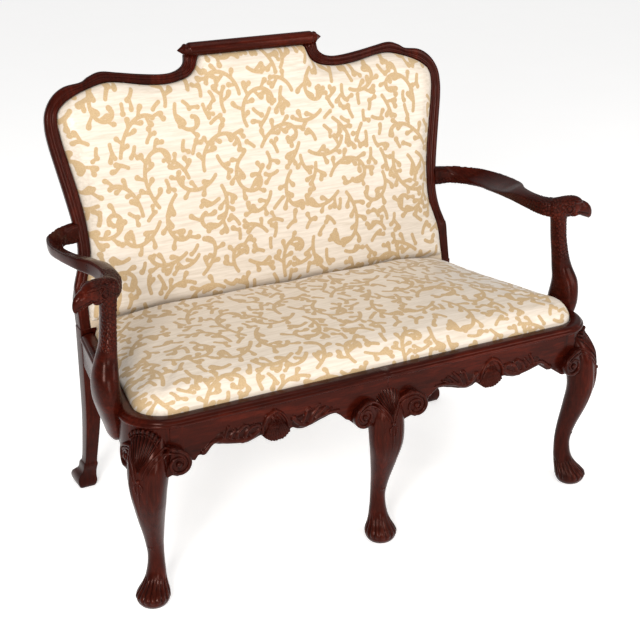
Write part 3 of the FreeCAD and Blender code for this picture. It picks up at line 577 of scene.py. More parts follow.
def roundCorner(inset, z, facets):
    # the middle of the front corner's arc, and the arc's points from the front to the side
    radius = max(seatPlan["corner"] - inset, seatPlan["leastCorner"])
    centre = sidePoint(seatPlan["front"] + inset + radius, inset + radius, z)
    turn = math.atan2(sideOut.y, sideOut.x) + math.pi / 2
    angles = [-math.pi / 2 + turn * k / facets for k in range(facets + 1)]
    return centre, [centre + Vector((math.cos(a), math.sin(a), 0)) * radius for a in angles]


def planPath(inset, z, rear, facets, steps, closing=0.0):
    # right half of an outline of the seat, from the middle of the front to the rear
    centre, arc = roundCorner(inset, z, facets)
    path = [Vector((centre.x * k / steps, arc[0].y, z)) for k in range(steps)] + arc
    last = sidePoint(rear, inset + closing, z)
    return path + [arc[-1].lerp(last, k / steps) for k in range(1, steps + 1)]


rimLook = {
    "rear": 0.1965, "facets": 26, "steps": 40,
    # distance inside the widest line, height
    "profile": [(0.0040, 0.4120), (0.0034, 0.4142), (0.0008, 0.4148), (-0.0002, 0.4160), (-0.0005, 0.4182),
                (0.0000, 0.4206), (0.0014, 0.4224), (0.0032, 0.4234), (0.0040, 0.4238), (0.0044, 0.4248),
                (0.0054, 0.4268), (0.0080, 0.4290), (0.0120, 0.4303), (0.0180, 0.4306), (0.0260, 0.4305),
                (0.0318, 0.4304), (0.0322, 0.4280), (0.0322, 0.4050)],
}


def buildRim():
    look = rimLook
    paths = [planPath(inset, z, look["rear"], look["facets"], look["steps"]) for inset, z in look["profile"]]
    bm = bmesh.new()
    sweep(bm, [[at(*p) for p in ring] for ring in zip(*paths)])
    mirrorCopy(bm)
    bmesh.ops.remove_doubles(bm, verts=bm.verts, dist=1e-6)
    return finishMesh(bm, "seatRimMoulding", woodAlongX)


rim = buildRim()
print("rim made")

# woven motif: branching stems with curled tips, grown at random on a flat cloth
motifLook = {
    "seed": 41, "width": 1.34, "height": 1.10, "cell": 0.003, "step": 0.004,
    "stem": 0.0049, "tip": 0.0070, "gap": 0.0042, "youngRun": 0.012, "youngGap": 0.2, "least": 0.021,
    "stems": 6500, "longStems": 900, "long": (0.10, 0.22), "short": (0.020, 0.05),
    "forked": 0.6, "fork": 0.013,
    "branchEvery": 0.0165, "branchLength": (0.013, 0.027), "budAhead": 0.002, "nearest": 3,
}


def growMotif():
    look = motifLook
    chance = random.Random(look["seed"])
    cell, step, stem, tip = look["cell"], look["step"], look["stem"], look["tip"]
    taken = {}
    dots = []
    strokes = 0

    def near(x, z, reach, own):
        cx, cz, n = int(x / cell), int(z / cell), int(reach / cell) + 1
        for i in range(cx - n, cx + n + 1):
            for j in range(cz - n, cz + n + 1):
                hit = taken.get((i, j))
                if hit and hit[3] not in own and math.hypot(hit[0] - x, hit[1] - z) < reach + hit[2]:
                    return True
        return False

    def put(x, z, r, who):
        dots.append((x, z, r))
        taken[(int(x / cell), int(z / cell))] = (x, z, r, who)

    def stroke(x, z, heading, curve, length, thin, thick, own, curl, least=0.0):
        # one tapered stroke; it stops where it would touch another, and ends in a round bud
        nonlocal strokes
        strokes += 1
        me = strokes
        made, run = [], 0.0
        while run < length:
            share = run / length
            heading += (curve + curl * share ** 3) * step
            x += math.cos(heading) * step
            z += math.sin(heading) * step
            r = thin + (thick - thin) * smooth(0.45, 1.0, share)
            gap = look["gap"] * (look["youngGap"] if run < look["youngRun"] else 1.0)
            if not (0 < x < look["width"] and 0 < z < look["height"]) or near(x, z, r + gap, own | {me}):
                break
            made.append((x, z, r, heading))
            run += step
        if run < max(min(length * 0.5, look["youngRun"]), least):
            return None, []
        for px, pz, r, _ in made:
            put(px, pz, r, me)
        px, pz, _, last = made[-1]
        bud = tip * chance.uniform(0.8, 1.05)
        put(px + math.cos(last) * look["budAhead"], pz + math.sin(last) * look["budAhead"], bud, me)
        return me, made

    def branch(x, z, heading, turn, parent):
        # a twig at an angle to its stem, some with a fork of their own
        angle = heading + turn * math.radians(chance.uniform(45, 75))
        child, twig = stroke(x, z, angle, turn * chance.uniform(-14, 4),
                             chance.uniform(*look["branchLength"]), stem * 0.9, tip, {parent},
                             -turn * chance.uniform(10, 90))
        if child and len(twig) > 5 and chance.random() < look["forked"]:
            bx, bz, _, middle = twig[len(twig) // 2]
            stroke(bx, bz, middle - turn * math.radians(60), 0, look["fork"], stem * 0.8, tip * 0.9,
                   {parent, child}, 0)

    for n in range(look["stems"]):
        x, z = chance.uniform(0, look["width"]), chance.uniform(0, look["height"])
        if near(x, z, look["gap"] + stem, set()):
            continue
        heading = math.radians(chance.choice((90, -90)) + chance.uniform(-60, 60))
        side = chance.choice((-1, 1))
        length = chance.uniform(*look["long" if n < look["longStems"] else "short"])
        me, made = stroke(x, z, heading, side * chance.uniform(5, 20), length, stem, stem * 1.15, set(),
                          side * chance.uniform(30, 90), look["least"])
        if not me:
            continue
        passed, turn = 0.0, chance.choice((-1, 1))
        for px, pz, _, way in made[2:]:
            passed += step
            if passed > look["branchEvery"] * chance.uniform(0.7, 1.2):
                passed = 0.0
                turn = -turn
                branch(px, pz, way, turn, me)
    return dots


motif = growMotif()
motifTree = kdTree([(x, z, 0) for x, z, _ in motif])
print("motif grown,", len(motif), "points")


def weaveMotif(piece, flatten):
    # stores each point's distance to the nearest stroke, measured on the flat cloth
    values = np.empty(len(piece.data.vertices), np.float32)
    for k, v in enumerate(piece.data.vertices):
        found = motifTree.find_n((*flatten(v.co), 0), motifLook["nearest"])
        values[k] = min([1.0] + [d - motif[i][2] for _, i, d in found])
    piece.data.attributes.new("motif", "FLOAT", "POINT").data.foreach_set("value", values)


# padded pieces: drawn a little small, remeshed, swollen by the cloth solver, capped, subdivided
swellLook = {"voxel": 0.006, "pressure": 4.0, "quality": 4, "tension": 30, "frames": 20}


def coordinates(piece):
    values = np.empty(len(piece.data.vertices) * 3, np.float32)
    piece.data.vertices.foreach_get("co", values)
    return values.reshape(-1, 3)


def paddedBody(name, rings):
    bm = bmesh.new()
    sweep(bm, rings)
    bmesh.ops.triangulate(bm, faces=[f for f in bm.faces if len(f.verts) > 4])
    bmesh.ops.recalc_face_normals(bm, faces=bm.faces)
    return newPiece(bm, name)


def swell(piece, cap, mask):
    look = swellLook
    scene = bpy.context.scene
    bpy.context.view_layer.objects.active = piece
    evenMesh(piece, look["voxel"])
    before = coordinates(piece)
    cloth = piece.modifiers.new("cloth", "CLOTH")
    cloth.settings.use_pressure = True
    cloth.settings.uniform_pressure_force = look["pressure"]
    cloth.settings.quality = look["quality"]
    cloth.settings.tension_stiffness = look["tension"]
    cloth.settings.effector_weights.gravity = 0
    cloth.collision_settings.use_collision = False
    for f in range(1, look["frames"] + 1):
        scene.frame_set(f)
    applyAll(piece)
    scene.frame_set(1)
    move = coordinates(piece) - before
    size = np.linalg.norm(move, axis=1)
    limit = np.array([cap * mask(Vector(p)) for p in before])
    move *= np.minimum(1.0, limit / np.maximum(size, 1e-9))[:, None]
    piece.data.vertices.foreach_set("co", (before + move).astype(np.float32).ravel())
    subdivide = piece.modifiers.new("fine", "SUBSURF")
    subdivide.levels = subdivide.render_levels = 1
    applyAll(piece)
    piece.data.shade_smooth()


seatLook = {
    "cap": 0.006, "gap": 0.0337, "rear": 0.1868, "facets": 18, "steps": 24, "soft": (0.436, 0.462),
    # inset, gap at the rear, height, closing in at the rear
    "rings": [(0.010, 0.010, 0.4075, 0.0), (0.0035, 0.003, 0.4065, 0.0), (0.0, 0.0, 0.412, 0.0),
              (0.0, 0.0, 0.430, 0.0), (0.0002, 0.0, 0.4375, 0.002), (0.0024, 0.001, 0.4472, 0.007),
              (0.0062, 0.003, 0.4548, 0.022), (0.0125, 0.005, 0.4608, 0.044), (0.024, 0.008, 0.4672, 0.066),
              (0.042, 0.012, 0.4722, 0.085), (0.072, 0.024, 0.4770, 0.096), (0.110, 0.040, 0.4808, 0.100),
              (0.150, 0.062, 0.4838, 0.096), (0.190, 0.090, 0.4858, 0.090), (0.222, 0.118, 0.4866, 0.084)],
    # a pull of the cloth at each front corner: its place, direction, width, two ends and depth
    "pull": ((0.455, -0.205), (0.62, 0.78), 0.011, (-0.075, 0.0), (0.095, 0.055), 0.0035), "pullsOver": 0.434,
    # unevenness of the stuffing: height, waves across and deep, where it comes in
    "uneven": (0.0012, (31, 1.3), (27, 0.4), (0.455, 0.475)),
    # where the motif's flat cloth lies, and how it runs down over the front edge
    "cloth": (0.61, 0.30), "fallFrom": 0.470, "fallShare": 0.9,
}


def easeSeat(p):
    place, way, wide, near, far, deep = seatLook["pull"]
    for sign in (-1, 1):
        dx, dy = p.x * sign - place[0], p.y - settle - place[1]
        along, off = dx * way[0] - dy * way[1], dx * way[1] + dy * way[0]
        p.z -= deep * bell(off, 0, wide) * smooth(*near, along) * smooth(*far, along)
    high, across, depth, over = seatLook["uneven"]
    waves = math.sin(p.x * across[0] + across[1]) * math.sin(p.y * depth[0] + depth[1])
    p.z += high * waves * smooth(*over, p.z)


def buildSeat():
    look = seatLook
    rings = []
    for inset, rearGap, z, closing in look["rings"]:
        right = planPath(look["gap"] + inset, z, look["rear"] - rearGap, look["facets"], look["steps"],
                         closing)
        left = mirrored(right[1:])
        rings.append([at(*p) for p in right + between(right[-1], left[0], look["steps"]) + left])
    piece = paddedBody("seatCover", rings)
    swell(piece, look["cap"], lambda p: smooth(*look["soft"], p.z))
    for v in piece.data.vertices:
        if v.co.z >= look["pullsOver"]:
            easeSeat(v.co)
    front = seatPlan["front"] + look["gap"] + settle

    def flatten(p):
        # the cloth runs on over the front edge, so height adds to the run there
        fall = max(0.0, look["fallFrom"] - p.z) * look["fallShare"] if p.y < 0 else 0
        return p.x + look["cloth"][0], p.y - front + look["cloth"][1] - fall
    weaveMotif(piece, flatten)
    dress(piece, silk, "drop_in_seat", ("seat_cover", "seat_stuffing"))


buildSeat()
print("seat made")

backLook = {
    "cap": 0.007, "gap": 0.0004, "foot": 0.4540, "top": 1.0262, "curve": 14, "count": 150,
    "footLift": 0.3, "leastX": 0.02, "topSteps": 28, "footSteps": 40, "soft": (0.002, -0.015),
    # inset and depth of each ring, from the rebate round to the front
    "rings": [(0.003, 0.0215), (0.0005, 0.0200), (0.0002, 0.0060), (0.0004, 0.0010), (0.0016, -0.0040),
              (0.0042, -0.0085), (0.0085, -0.0118), (0.0150, -0.0142), (0.0240, -0.0160), (0.0360, -0.0172)],
    # the pad's crown: height, where it comes in, its middle and half height, its half width
    "crown": 0.0095, "crownIn": (0.0, -0.016), "crownHigh": (0.745, 0.30), "crownWide": 0.52,
    # where the motif's flat cloth lies
    "cloth": (0.66, 0.22, 0.45, 1.02),
}


def backCloth(x, z):
    left, up, foot, stretch = backLook["cloth"]
    return left + x, up + (z - foot) * stretch


def backOutline(inset):
    # right half of the pad's outline on the back's plane, from the foot up to the roll
    look = backLook
    run = [p for p in flatCurve(innerLine, look["curve"]) if p.y >= look["foot"]]
    run.insert(0, Vector((run[0].x, look["foot"], 0)))
    moved = []
    for k, p in enumerate(run):
        way = (run[min(k + 1, len(run) - 1)] - run[max(k - 1, 0)]).normalized()
        moved.append(p + Vector((-way.y, way.x, 0)) * (inset + look["gap"]))
    moved = [p for p in moved if p.y < look["top"] - inset and p.x > look["leastX"]]
    moved[0] = Vector((moved[1].x, look["foot"] + inset * look["footLift"], 0))
    return evenly([p for p in moved if p.y >= moved[0].y], look["count"])


def buildBack():
    look = backLook
    # rings close in from the rebate to the crown
    rings = []
    for inset, deep in look["rings"]:
        right = backOutline(inset)
        left = mirrored(right)
        top = between(right[-1], left[0], look["topSteps"])
        foot = between(left[-1], right[0], look["footSteps"])
        rings.append([onBack(p.x, p.y, deep) for p in right + top + left + foot])
    piece = paddedBody("backCover", rings)
    evenMesh(piece, swellLook["voxel"])
    lean = backPlane["rake"]
    out = Vector((0, -math.cos(lean), math.sin(lean)))

    def depthAt(p):
        return (p - onBack(p.x, backPlane["rimHeight"])).dot(-out)
    for v in piece.data.vertices:
        middle, half = look["crownHigh"]
        high, wide = (v.co.z - middle) / half, v.co.x / look["crownWide"]
        share = max(0.0, 1 - high * high) * max(0.0, 1 - wide * wide)
        v.co += out * (look["crown"] * smooth(*look["crownIn"], depthAt(v.co)) * share)
    swell(piece, look["cap"], lambda p: smooth(*look["soft"], depthAt(p)))
    weaveMotif(piece, lambda p: backCloth(p.x, p.z))
    dress(piece, silk, "frame", ("back_cover", "back_stuffing"))


buildBack()
print("back made")

# outside of the back: the same cloth, stretched over the rear of the frame
outsideLook = {"middle": (0.0, 0.735, 0.0), "points": 860, "rings": 92, "deep": 0.0334, "thick": 0.0016,
               "inset": 0.0015, "foot": 0.4580, "top": 1.0270, "curve": 16, "heart": 0.02,
               # under the roll the cloth turns forward to meet it
               "turn": 0.0060, "turnFrom": 1.000, "turnWide": (0.20, 0.17)}


def outsideOutline():
    look = outsideLook
    right = [p - rightward * look["inset"] for p in flatCurve(innerLine, look["curve"])
             if look["foot"] < p.y < look["top"]]
    right.insert(0, Vector((right[0].x, look["foot"], 0)))
    right.append(Vector((right[-1].x, look["top"], 0)))
    loop = right + mirrored(right)
    return evenly(loop + [loop[0]], look["points"] + 1)[:-1]


def buildOutside():
    look = outsideLook
    outline = outsideOutline()
    middle = Vector(look["middle"])

    def place(p, deep):
        turn = smooth(look["turnFrom"], look["top"], p.y) * smooth(*look["turnWide"], abs(p.x))
        return onBack(p.x, p.y, deep - look["turn"] * turn)
    rings = [[place(p, look["deep"] - look["thick"]) for p in outline]]
    for k in range(look["rings"]):
        share = 1 - k / look["rings"]
        rings.append([place(middle.lerp(p, share), look["deep"]) for p in outline])
    bm = bmesh.new()
    sweep(bm, rings, caps=False)
    heart = bm.verts.new(place(middle, look["deep"]))
    for e in [e for e in bm.edges if len(e.link_faces) == 1]:
        if (e.verts[0].co - heart.co).length < look["heart"]:
            bm.faces.new((e.verts[0], e.verts[1], heart))
    bmesh.ops.holes_fill(bm, edges=[e for e in bm.edges if len(e.link_faces) == 1], sides=0)
    piece = finishMesh(bm, "outsideCloth", silk, ("outside_back",), sharp=50)
    weaveMotif(piece, lambda p: backCloth(-p.x, p.z))


buildOutside()
print("outside of the back made")


# carving helpers; a face to carve is the plane's origin, its way to the right and its way out
def treeOf(pieces):
    # one search tree over the shown faces of several pieces
    points, faces = [], []
    for piece in pieces:
        start = len(points)
        points += [v.co.copy() for v in piece.data.vertices]
        faces += [[start + i for i in f.vertices] for f in piece.data.polygons]
    return BVHTree.FromPolygons(points, faces)


def onFace(face, s, t, deep=0.0):
    origin, right, out = face
    return origin + right * s + upward * t + out * deep


def castOn(tree, face, s, t, start=0.2, reach=0.45):
    # where a surface lies behind a place in front of the face, if it does
    return tree.ray_cast(onFace(face, s, t, start), -face[2], reach)[0]


def circle(count):
    return [(math.cos(math.tau * k / count), math.sin(math.tau * k / count)) for k in range(count)]


def squared(a, full):
    # a sine or cosine of a rounded square: full is 2 for a circle, more for a squarer one
    return math.copysign(abs(a) ** (2 / full), a)


ridgeLook = {"curve": 12, "evened": 3, "around": 10, "endShare": 0.35, "high": 0.95}


def ridge(bm, tree, face, path, steps, lift=0.0, tone=0.66):
    # a rounded ridge that lies on a surface along a path drawn in a plane in front of it; its lighter tone is
    # a painted highlight
    look = ridgeLook
    origin, right, out = face
    run = evenly(flatCurve(path, look["curve"]), steps)
    widths = evenSizes([w for _, _, w in path], steps)
    line = []
    for p in run:
        hit = castOn(tree, face, p.x, p.y)
        line.append((hit - origin).dot(out) if hit else (line[-1] if line else 0.0))
    for _ in range(look["evened"]):
        middle = [max(b, (a + b + c) / 3) for a, b, c in zip(line, line[1:], line[2:])]
        line = [line[0]] + middle + [line[-1]]
    rings = []
    for k, p in enumerate(run):
        way = (run[min(k + 1, steps - 1)] - run[max(k - 1, 0)]).normalized()
        side = right * -way.y + upward * way.x
        r = widths[k] * (1.0 if 0 < k < steps - 1 else look["endShare"])
        centre = onFace(face, p.x, p.y, line[k] + lift)
        rings.append([centre + side * (r * c) + out * (r * look["high"] * s)
                      for c, s in circle(look["around"])])
    sweep(bm, rings, tones=[[tone] * look["around"]] * steps)


def addBeads(bm, tree, face, beads, tone=0.7):
    # the beads' lighter tone is a painted highlight
    layer = bm.verts.layers.float.get("relief")
    for s, t, r in beads:
        hit = castOn(tree, face, s, t)
        if hit:
            place = Matrix.Translation(hit)
            for v in bmesh.ops.create_icosphere(bm, subdivisions=2, radius=r, matrix=place)["verts"]:
                v[layer] = tone


# cabriole legs
legLook = {
    "around": 96, "sole": [0.0, 0.0008, 0.0018], "from": 0.003, "levels": 184, "drift": (0.135, 0.11),
    "footRibs": 17, "ribDepth": 0.00304, "ribsIn": (0.013, 0.020), "ribsOut": (0.066, 0.050),
    "pearls": (-0.34, 0.0, 0.34), "pearlAt": (0.131, 0.019), "pearlSize": 0.14,
    "lineIn": (0.205, 0.235), "lineOut": (0.345, 0.325), "lineSpread": (0.22, 0.33), "lineWide": 0.004,
    # height, offset of the middle along the knee's direction, half sizes along and across, fullness
    "corner": [(0.0, -2, 25, 25, 2.0), (3, -1.6, 29, 29, 2.0), (9, -1, 33, 33, 2.0),
               (16, -0.8, 36.2, 36, 2.0),
               (23, -1, 37.4, 36.8, 2.0), (31, -4.5, 35.2, 34, 2.0), (43, -12, 29.5, 27.5, 2.0),
               (56, -18.5, 24.6, 22.6, 2.0), (70, -23, 21.5, 20, 2.0), (88, -25.4, 19.6, 17.8, 2.0),
               (110, -26, 19, 16.8, 2.05), (135, -22.6, 20.4, 18.2, 2.1), (160, -17, 22.8, 20.5, 2.2),
               (215, -2, 29, 27.5, 2.4), (270, 8, 32.5, 36, 2.45), (325, 3.5, 36.5, 42, 2.45),
               (360, -4.5, 33.5, 39, 2.4), (386, -14, 28, 34, 2.4), (399, -21, 24, 30, 2.4),
               (408, -29, 20, 27, 2.4)],
    "middle": [(0.0, 0, 25, 25, 2.0), (3, 0.4, 29, 29, 2.0), (9, 1, 33, 33, 2.0), (16, 1.0, 36, 36, 2.0),
               (23, 1, 37, 36.8, 2.0), (31, -1, 34.8, 34, 2.0), (43, -5, 29, 27.5, 2.0),
               (56, -9, 24.4, 22.8, 2.0), (70, -12, 21.5, 20, 2.0), (88, -13.6, 19, 17.6, 2.0),
               (110, -14, 18, 16.5, 2.05), (135, -10.0, 19.2, 18.0, 2.1), (160, -4, 21.3, 20.7, 2.2),
               (210, 9, 26.2, 29, 2.4), (260, 19.5, 29, 38.5, 2.45), (320, 15, 31, 41, 2.45),
               (355, 5.5, 29.5, 38.5, 2.4), (386, -6, 26, 34, 2.4), (399, -14, 22, 30, 2.4),
               (408, -20, 18, 26, 2.4)],
}


def legCarving(a, z):
    # how far the carving stands out at an angle round the leg, 0 in front, and its tone: painted shade in the
    # grooves, a painted highlight on what stands out
    look = legLook
    front = a if a < math.pi else a - math.tau
    ribs = smooth(*look["ribsIn"], z) * smooth(*look["ribsOut"], z)
    groove = (1 - abs(math.cos(look["footRibs"] / 2 * a))) ** 1.5
    carve = -look["ribDepth"] * ribs * groove
    # painted shade in the grooves between the foot's ribs, a painted highlight on their crests
    tone = 0.5 + ribs * (0.35 - 0.85 * groove)
    # a narrow band under the ribs of the foot, lightened by a painted highlight
    carve += 0.0004 - 0.0010 * bell(z, 0.0155, 0.0012)
    tone += 0.25 * bell(z, 0.0125, 0.0022)
    # three small pearls above the ankle, in front, lightened by a painted highlight
    middle, high = look["pearlAt"]
    for pearl in look["pearls"]:
        d = math.hypot(front - pearl, (z - middle) / high)
        if d < look["pearlSize"]:
            carve += 0.0014 * bump(d, look["pearlSize"])
            tone += 0.3
    # a carved line runs down each side of the knee's face, lightened by a painted highlight; the factor makes
    # the angle a distance
    d = abs(abs(front) - 0.46 - 0.16 * smooth(*look["lineSpread"], z)) * 0.033
    if d < look["lineWide"]:
        fade = smooth(*look["lineIn"], z) * smooth(*look["lineOut"], z)
        carve += 0.0011 * bump(d, look["lineWide"]) * fade
        tone += 0.2 * fade
    return carve, min(1.0, max(0.0, tone))


def addLeg(bm, rows, foot, out, drift):
    look = legLook
    across = Vector((-out.y, out.x, 0))
    table = [[size / 1000 for size in row[:4]] + [row[4]] for row in rows]
    low, high = look["from"], table[-1][0]
    rings, tones = [], []
    for z in look["sole"] + [low + (high - low) * k / look["levels"] for k in range(look["levels"] + 1)]:
        offset, along, wide, full = tableAt(table, z)
        share = min(1.0, max(0.0, (z - look["drift"][0]) / look["drift"][1]))
        centre = foot + out * offset + drift * share + upward * z
        ring, shades = [], []
        for k, (c, s) in enumerate(circle(look["around"])):
            carve, tone = legCarving(math.tau * k / look["around"], z)
            ring.append(centre + out * (squared(c, full) * along + c * carve)
                        + across * (squared(s, full) * wide + s * carve))
            shades.append(tone)
        rings.append(ring)
        tones.append(shades)
    sweep(bm, rings, tones=tones)


diagonal = (rightward + forward).normalized()
cornerLegFoot = at(0.558, -0.298, 0)
middleLegFoot = at(0, -0.306, 0)
# corner legs, with the corner of the seat frame above them
cornerBlockLook = {"section": [(0.0036, 0.4150), (0.0036, 0.3462), (0.0500, 0.3462), (0.0500, 0.4042)],
                   "outset": 0.006, "facets": 40, "drift": Vector((-0.004, -0.006, 0))}


def buildCornerLegs():
    look = cornerBlockLook
    bm = carvedMesh()
    addLeg(bm, legLook["corner"], cornerLegFoot, diagonal, look["drift"])
    arcs = [roundCorner(inset, z, look["facets"])[1] for inset, z in look["section"]]
    rings = [[at(*p) for p in ring] for ring in zip(*arcs)]
    rings.insert(0, [p - rightward * look["outset"] for p in rings[0]])
    rings.append([p + sideWay * look["outset"] for p in rings[-1]])
    sweep(bm, rings, tones=[[0.5] * 4] * len(rings))
    mirrorCopy(bm)
    return finishMesh(bm, "cornerLegs", carvedUp, replaced=("front_leg_left", "front_leg_right"), sharp=50)


def buildMiddleLeg():
    bm = carvedMesh()
    addLeg(bm, legLook["middle"], middleLegFoot, forward, Vector())
    return finishMesh(bm, "middleLeg", carvedUp, replaced=("front_leg_middle",))


cornerLegs = buildCornerLegs()
middleLeg = buildMiddleLeg()
print("front legs made")

# ears: scrolled blocks beside the knees
earLook = {
    # reach, drop, inner foot, top, shoulder
    "front": (0.081, 0.313, 0.022, 0.380, 0.330), "middle": (0.093, 0.313, 0.036, 0.378, 0.350),
    "side": (0.066, 0.313, 0.022, 0.374, 0.330), "eye": 0.027, "plane": -0.346, "sidePlane": 0.0032,
    # depth behind the ear's front and inset of each ring
    "rings": [(0.041, 0.0), (0.0034, 0.0), (0.0018, 0.0004), (0.0006, 0.0015), (0.0, 0.0032), (0.0, 0.0040)],
    "back": 0.016, "backFrom": (0.026, -0.014), "shade": 0.45,
}
scrollLook = {
    "wide": 0.0037, "radius": 0.0248, "turns": 13, "steps": 130, "innerSteps": 70, "eyeBall": 0.0072,
    # start of each scroll, from the shell's apex: across, up, share of the width
    "front": [(-0.024, 0.318, 0.5), (-0.020, 0.333, 0.9), (-0.008, 0.352, 1.15), (0.009, 0.3665, 1.25),
              (0.030, 0.3755, 1.2), (0.050, 0.3735, 1.15), (0.0635, 0.3650, 1.1)],
    "middle": [(0.001, 0.316, 0.5), (0.006, 0.332, 0.9), (0.018, 0.351, 1.15), (0.035, 0.3660, 1.25),
               (0.052, 0.3735, 1.2), (0.066, 0.3715, 1.15), (0.0765, 0.3640, 1.1)],
    "side": [(-0.024, 0.318, 0.5), (-0.020, 0.332, 0.9), (-0.010, 0.349, 1.15), (0.003, 0.3620, 1.25),
             (0.020, 0.3700, 1.2), (0.037, 0.3695, 1.15), (0.0490, 0.3635, 1.1)],
}
earFaces = {
    "front": (at(cornerLegFoot.x, earLook["plane"], 0), -rightward, forward),
    "middle": (at(0, earLook["plane"], 0), rightward, forward),
    "side": (at(*sidePoint(cornerLegFoot.y - settle, earLook["sidePlane"])), sideWay, sideOut),
}


def earOutline(reach, drop, near, top, shoulder):
    # the C-scroll beside a knee, as a closed run of points in its own plane
    r = earLook["eye"]
    u, z = reach - r, drop + r
    crest = (u + 0.45 * r, z + 0.9 * r)
    run = flatCurve([(near, drop - 0.022), (near + 0.004, drop - 0.006), (near + 0.017, drop + 0.004)], 6)
    run += flatCurve([(u - 0.004, drop), (u + 0.62 * r, z - 0.74 * r), (reach, z),
                      (u + 0.78 * r, z + 0.62 * r), crest], 8)
    run += flatCurve([crest, (u - 0.05 * r, top - 0.003), (u - 0.55 * r, top)], 6)[1:]
    run += [Vector((0.004, shoulder, 0)), Vector((0.004, drop - 0.018, 0))]
    area = sum(a.x * b.y - b.x * a.y for a, b in zip(run, run[1:] + run[:1]))
    return run if area > 0 else run[::-1]


def addEar(bm, face, outline, near):
    # a block with the ear's outline and an eased front edge, set back beside the leg
    look = earLook
    rings = []
    for deep, inset in look["rings"]:
        ring = []
        for before, p, after in zip(outline[-1:] + outline, outline, outline[1:] + outline[:1]):
            way = (after - before).normalized()
            q = p + Vector((-way.y, way.x, 0)) * inset
            high, low = (near + x for x in look["backFrom"])
            ring.append(onFace(face, q.x, q.y, -deep - look["back"] * smooth(high, low, q.x)))
        rings.append(ring)
    sweep(bm, rings, tones=[[look["shade"]] * len(outline)] * len(rings))


def buildEars():
    bm = carvedMesh()
    for name, face in earFaces.items():
        addEar(bm, face, earOutline(*earLook[name]), earLook[name][2])
    mirrorCopy(bm)
    return finishMesh(bm, "kneeEars", carvedUp,
                      replaced=("ear_front_left", "ear_front_right", "ear_middle_left", "ear_middle_right",
                                "ear_side_left", "ear_side_right"))


kneeEars = buildEars()
print("ears made")

# carved shells on the knees, their collars, scrolls and husks
shellLook = {"columns": 66, "rows": 46, "ribs": 9, "apex": 0.004, "thick": 0.0056, "flute": 0.0028,
             "ruffle": 0.0030, "collar": 0.0040, "quirk": 0.0022, "sink": 0.0012, "skirt": 0.006, "eased": 4}
kneeLook = {
    "corner": {"apex": 0.324, "spread": 29.0, "reach": 0.084},
    "middle": {"apex": 0.323, "spread": 32.0, "reach": 0.080},
    "beads": 11, "beadSize": 0.0026, "beadReach": 0.915, "beadSpread": 0.98,
    # strokes of the drop under the apex: points, width at each, steps, lift; the first two lie on both sides
    "leaf": ([(0.0015, -0.014, 0.0016), (0.0085, -0.024, 0.0028), (0.0045, -0.040, 0.0008)], 16, 0.0002),
    "vein": ([(0.020, 0.004, 0.0010), (0.0205, -0.026, 0.0018), (0.0165, -0.060, 0.0008)], 22, -0.0004),
    "husk": ([(0, -0.018, 0.0016), (0, -0.040, 0.0024), (0, -0.074, 0.0008)], 20, 0.0),
    # the drop's lighter tone is a painted highlight
    "drop": (0.0, -0.010, 0.0052), "dropTone": 0.6,
}


def fanReach(reach, u):
    # the fan is a little shorter at its sides
    return reach * (0.86 + 0.14 * (1 - abs(u) ** 2.2))


def shellHeight(u, v):
    # height of the fan's surface over its ground and the share of a rib, across and out from the apex
    look = shellLook
    rib = 1 - abs(math.cos(math.pi * look["ribs"] * (u + 1) / 2)) ** 1.6
    edge = smooth(1.0, 0.93, abs(u)) * smooth(0.0, 0.10, v)
    h = look["thick"] * (0.35 + 0.65 * smooth(0.0, 0.35, v))
    h -= look["flute"] * (1 - rib) * smooth(0.04, 0.2, v)
    h += smooth(0.86, 0.93, v) * look["collar"] - look["quirk"] * bell(v, 0.865, 0.018)
    return (h * edge - look["sink"] * (1 - edge) if v < 1 else -0.001), rib * edge


def addShell(bm, tree, face, spread, reach):
    # carved fan whose ribs rise from an apex; its top turns out in a ruffled collar
    look = shellLook
    columns, rows = look["columns"], look["rows"]
    places, base = {}, np.full((rows + 1, columns + 1), np.nan)
    for j in range(rows + 1):
        v = j / rows
        for k in range(columns + 1):
            u = 2 * k / columns - 1
            a = math.radians(spread) * u * (0.42 + 0.58 * smooth(0, 0.5, v))
            lobes = abs(math.cos(math.pi * look["ribs"] * (u + 1) / 2))
            radius = look["apex"] + (fanReach(reach, u) + look["ruffle"] * (1 - lobes)) * v
            s, t = radius * math.sin(a), radius * math.cos(a)
            places[j, k] = s, t, *shellHeight(u, v)
            hit = castOn(tree, face, s, t, 0.15, 0.35)
            if hit:
                base[j, k] = (hit - face[0]).dot(face[2])
    # the ground under the fan is eased, so that it bridges the step up to the rail
    base = np.where(np.isnan(base), np.nanmin(base), base)
    for _ in range(look["eased"]):
        around = sum(np.roll(base, way, axis) for way in (1, -1) for axis in (0, 1)) / 4
        base[1:-1, 1:-1] = np.maximum(base, around)[1:-1, 1:-1]
    layer = bm.verts.layers.float.get("relief")
    verts = {}
    for place, (s, t, h, rib) in places.items():
        verts[place] = bm.verts.new(onFace(face, s, t, base[place] + h))
        # tone: painted shade in the flutes and at the fan's edges, a painted highlight on the ribs
        verts[place][layer] = min(1.0, 0.08 + 0.58 * rib)
    faces = [bm.faces.new((verts[j, k], verts[j, k + 1], verts[j + 1, k + 1], verts[j + 1, k]))
             for j in range(rows) for k in range(columns)]
    made = bmesh.ops.extrude_face_region(bm, geom=faces, use_keep_orig=True)["geom"]
    skirt = [g for g in made if isinstance(g, bmesh.types.BMVert)]
    bmesh.ops.translate(bm, verts=skirt, vec=-face[2] * look["skirt"])


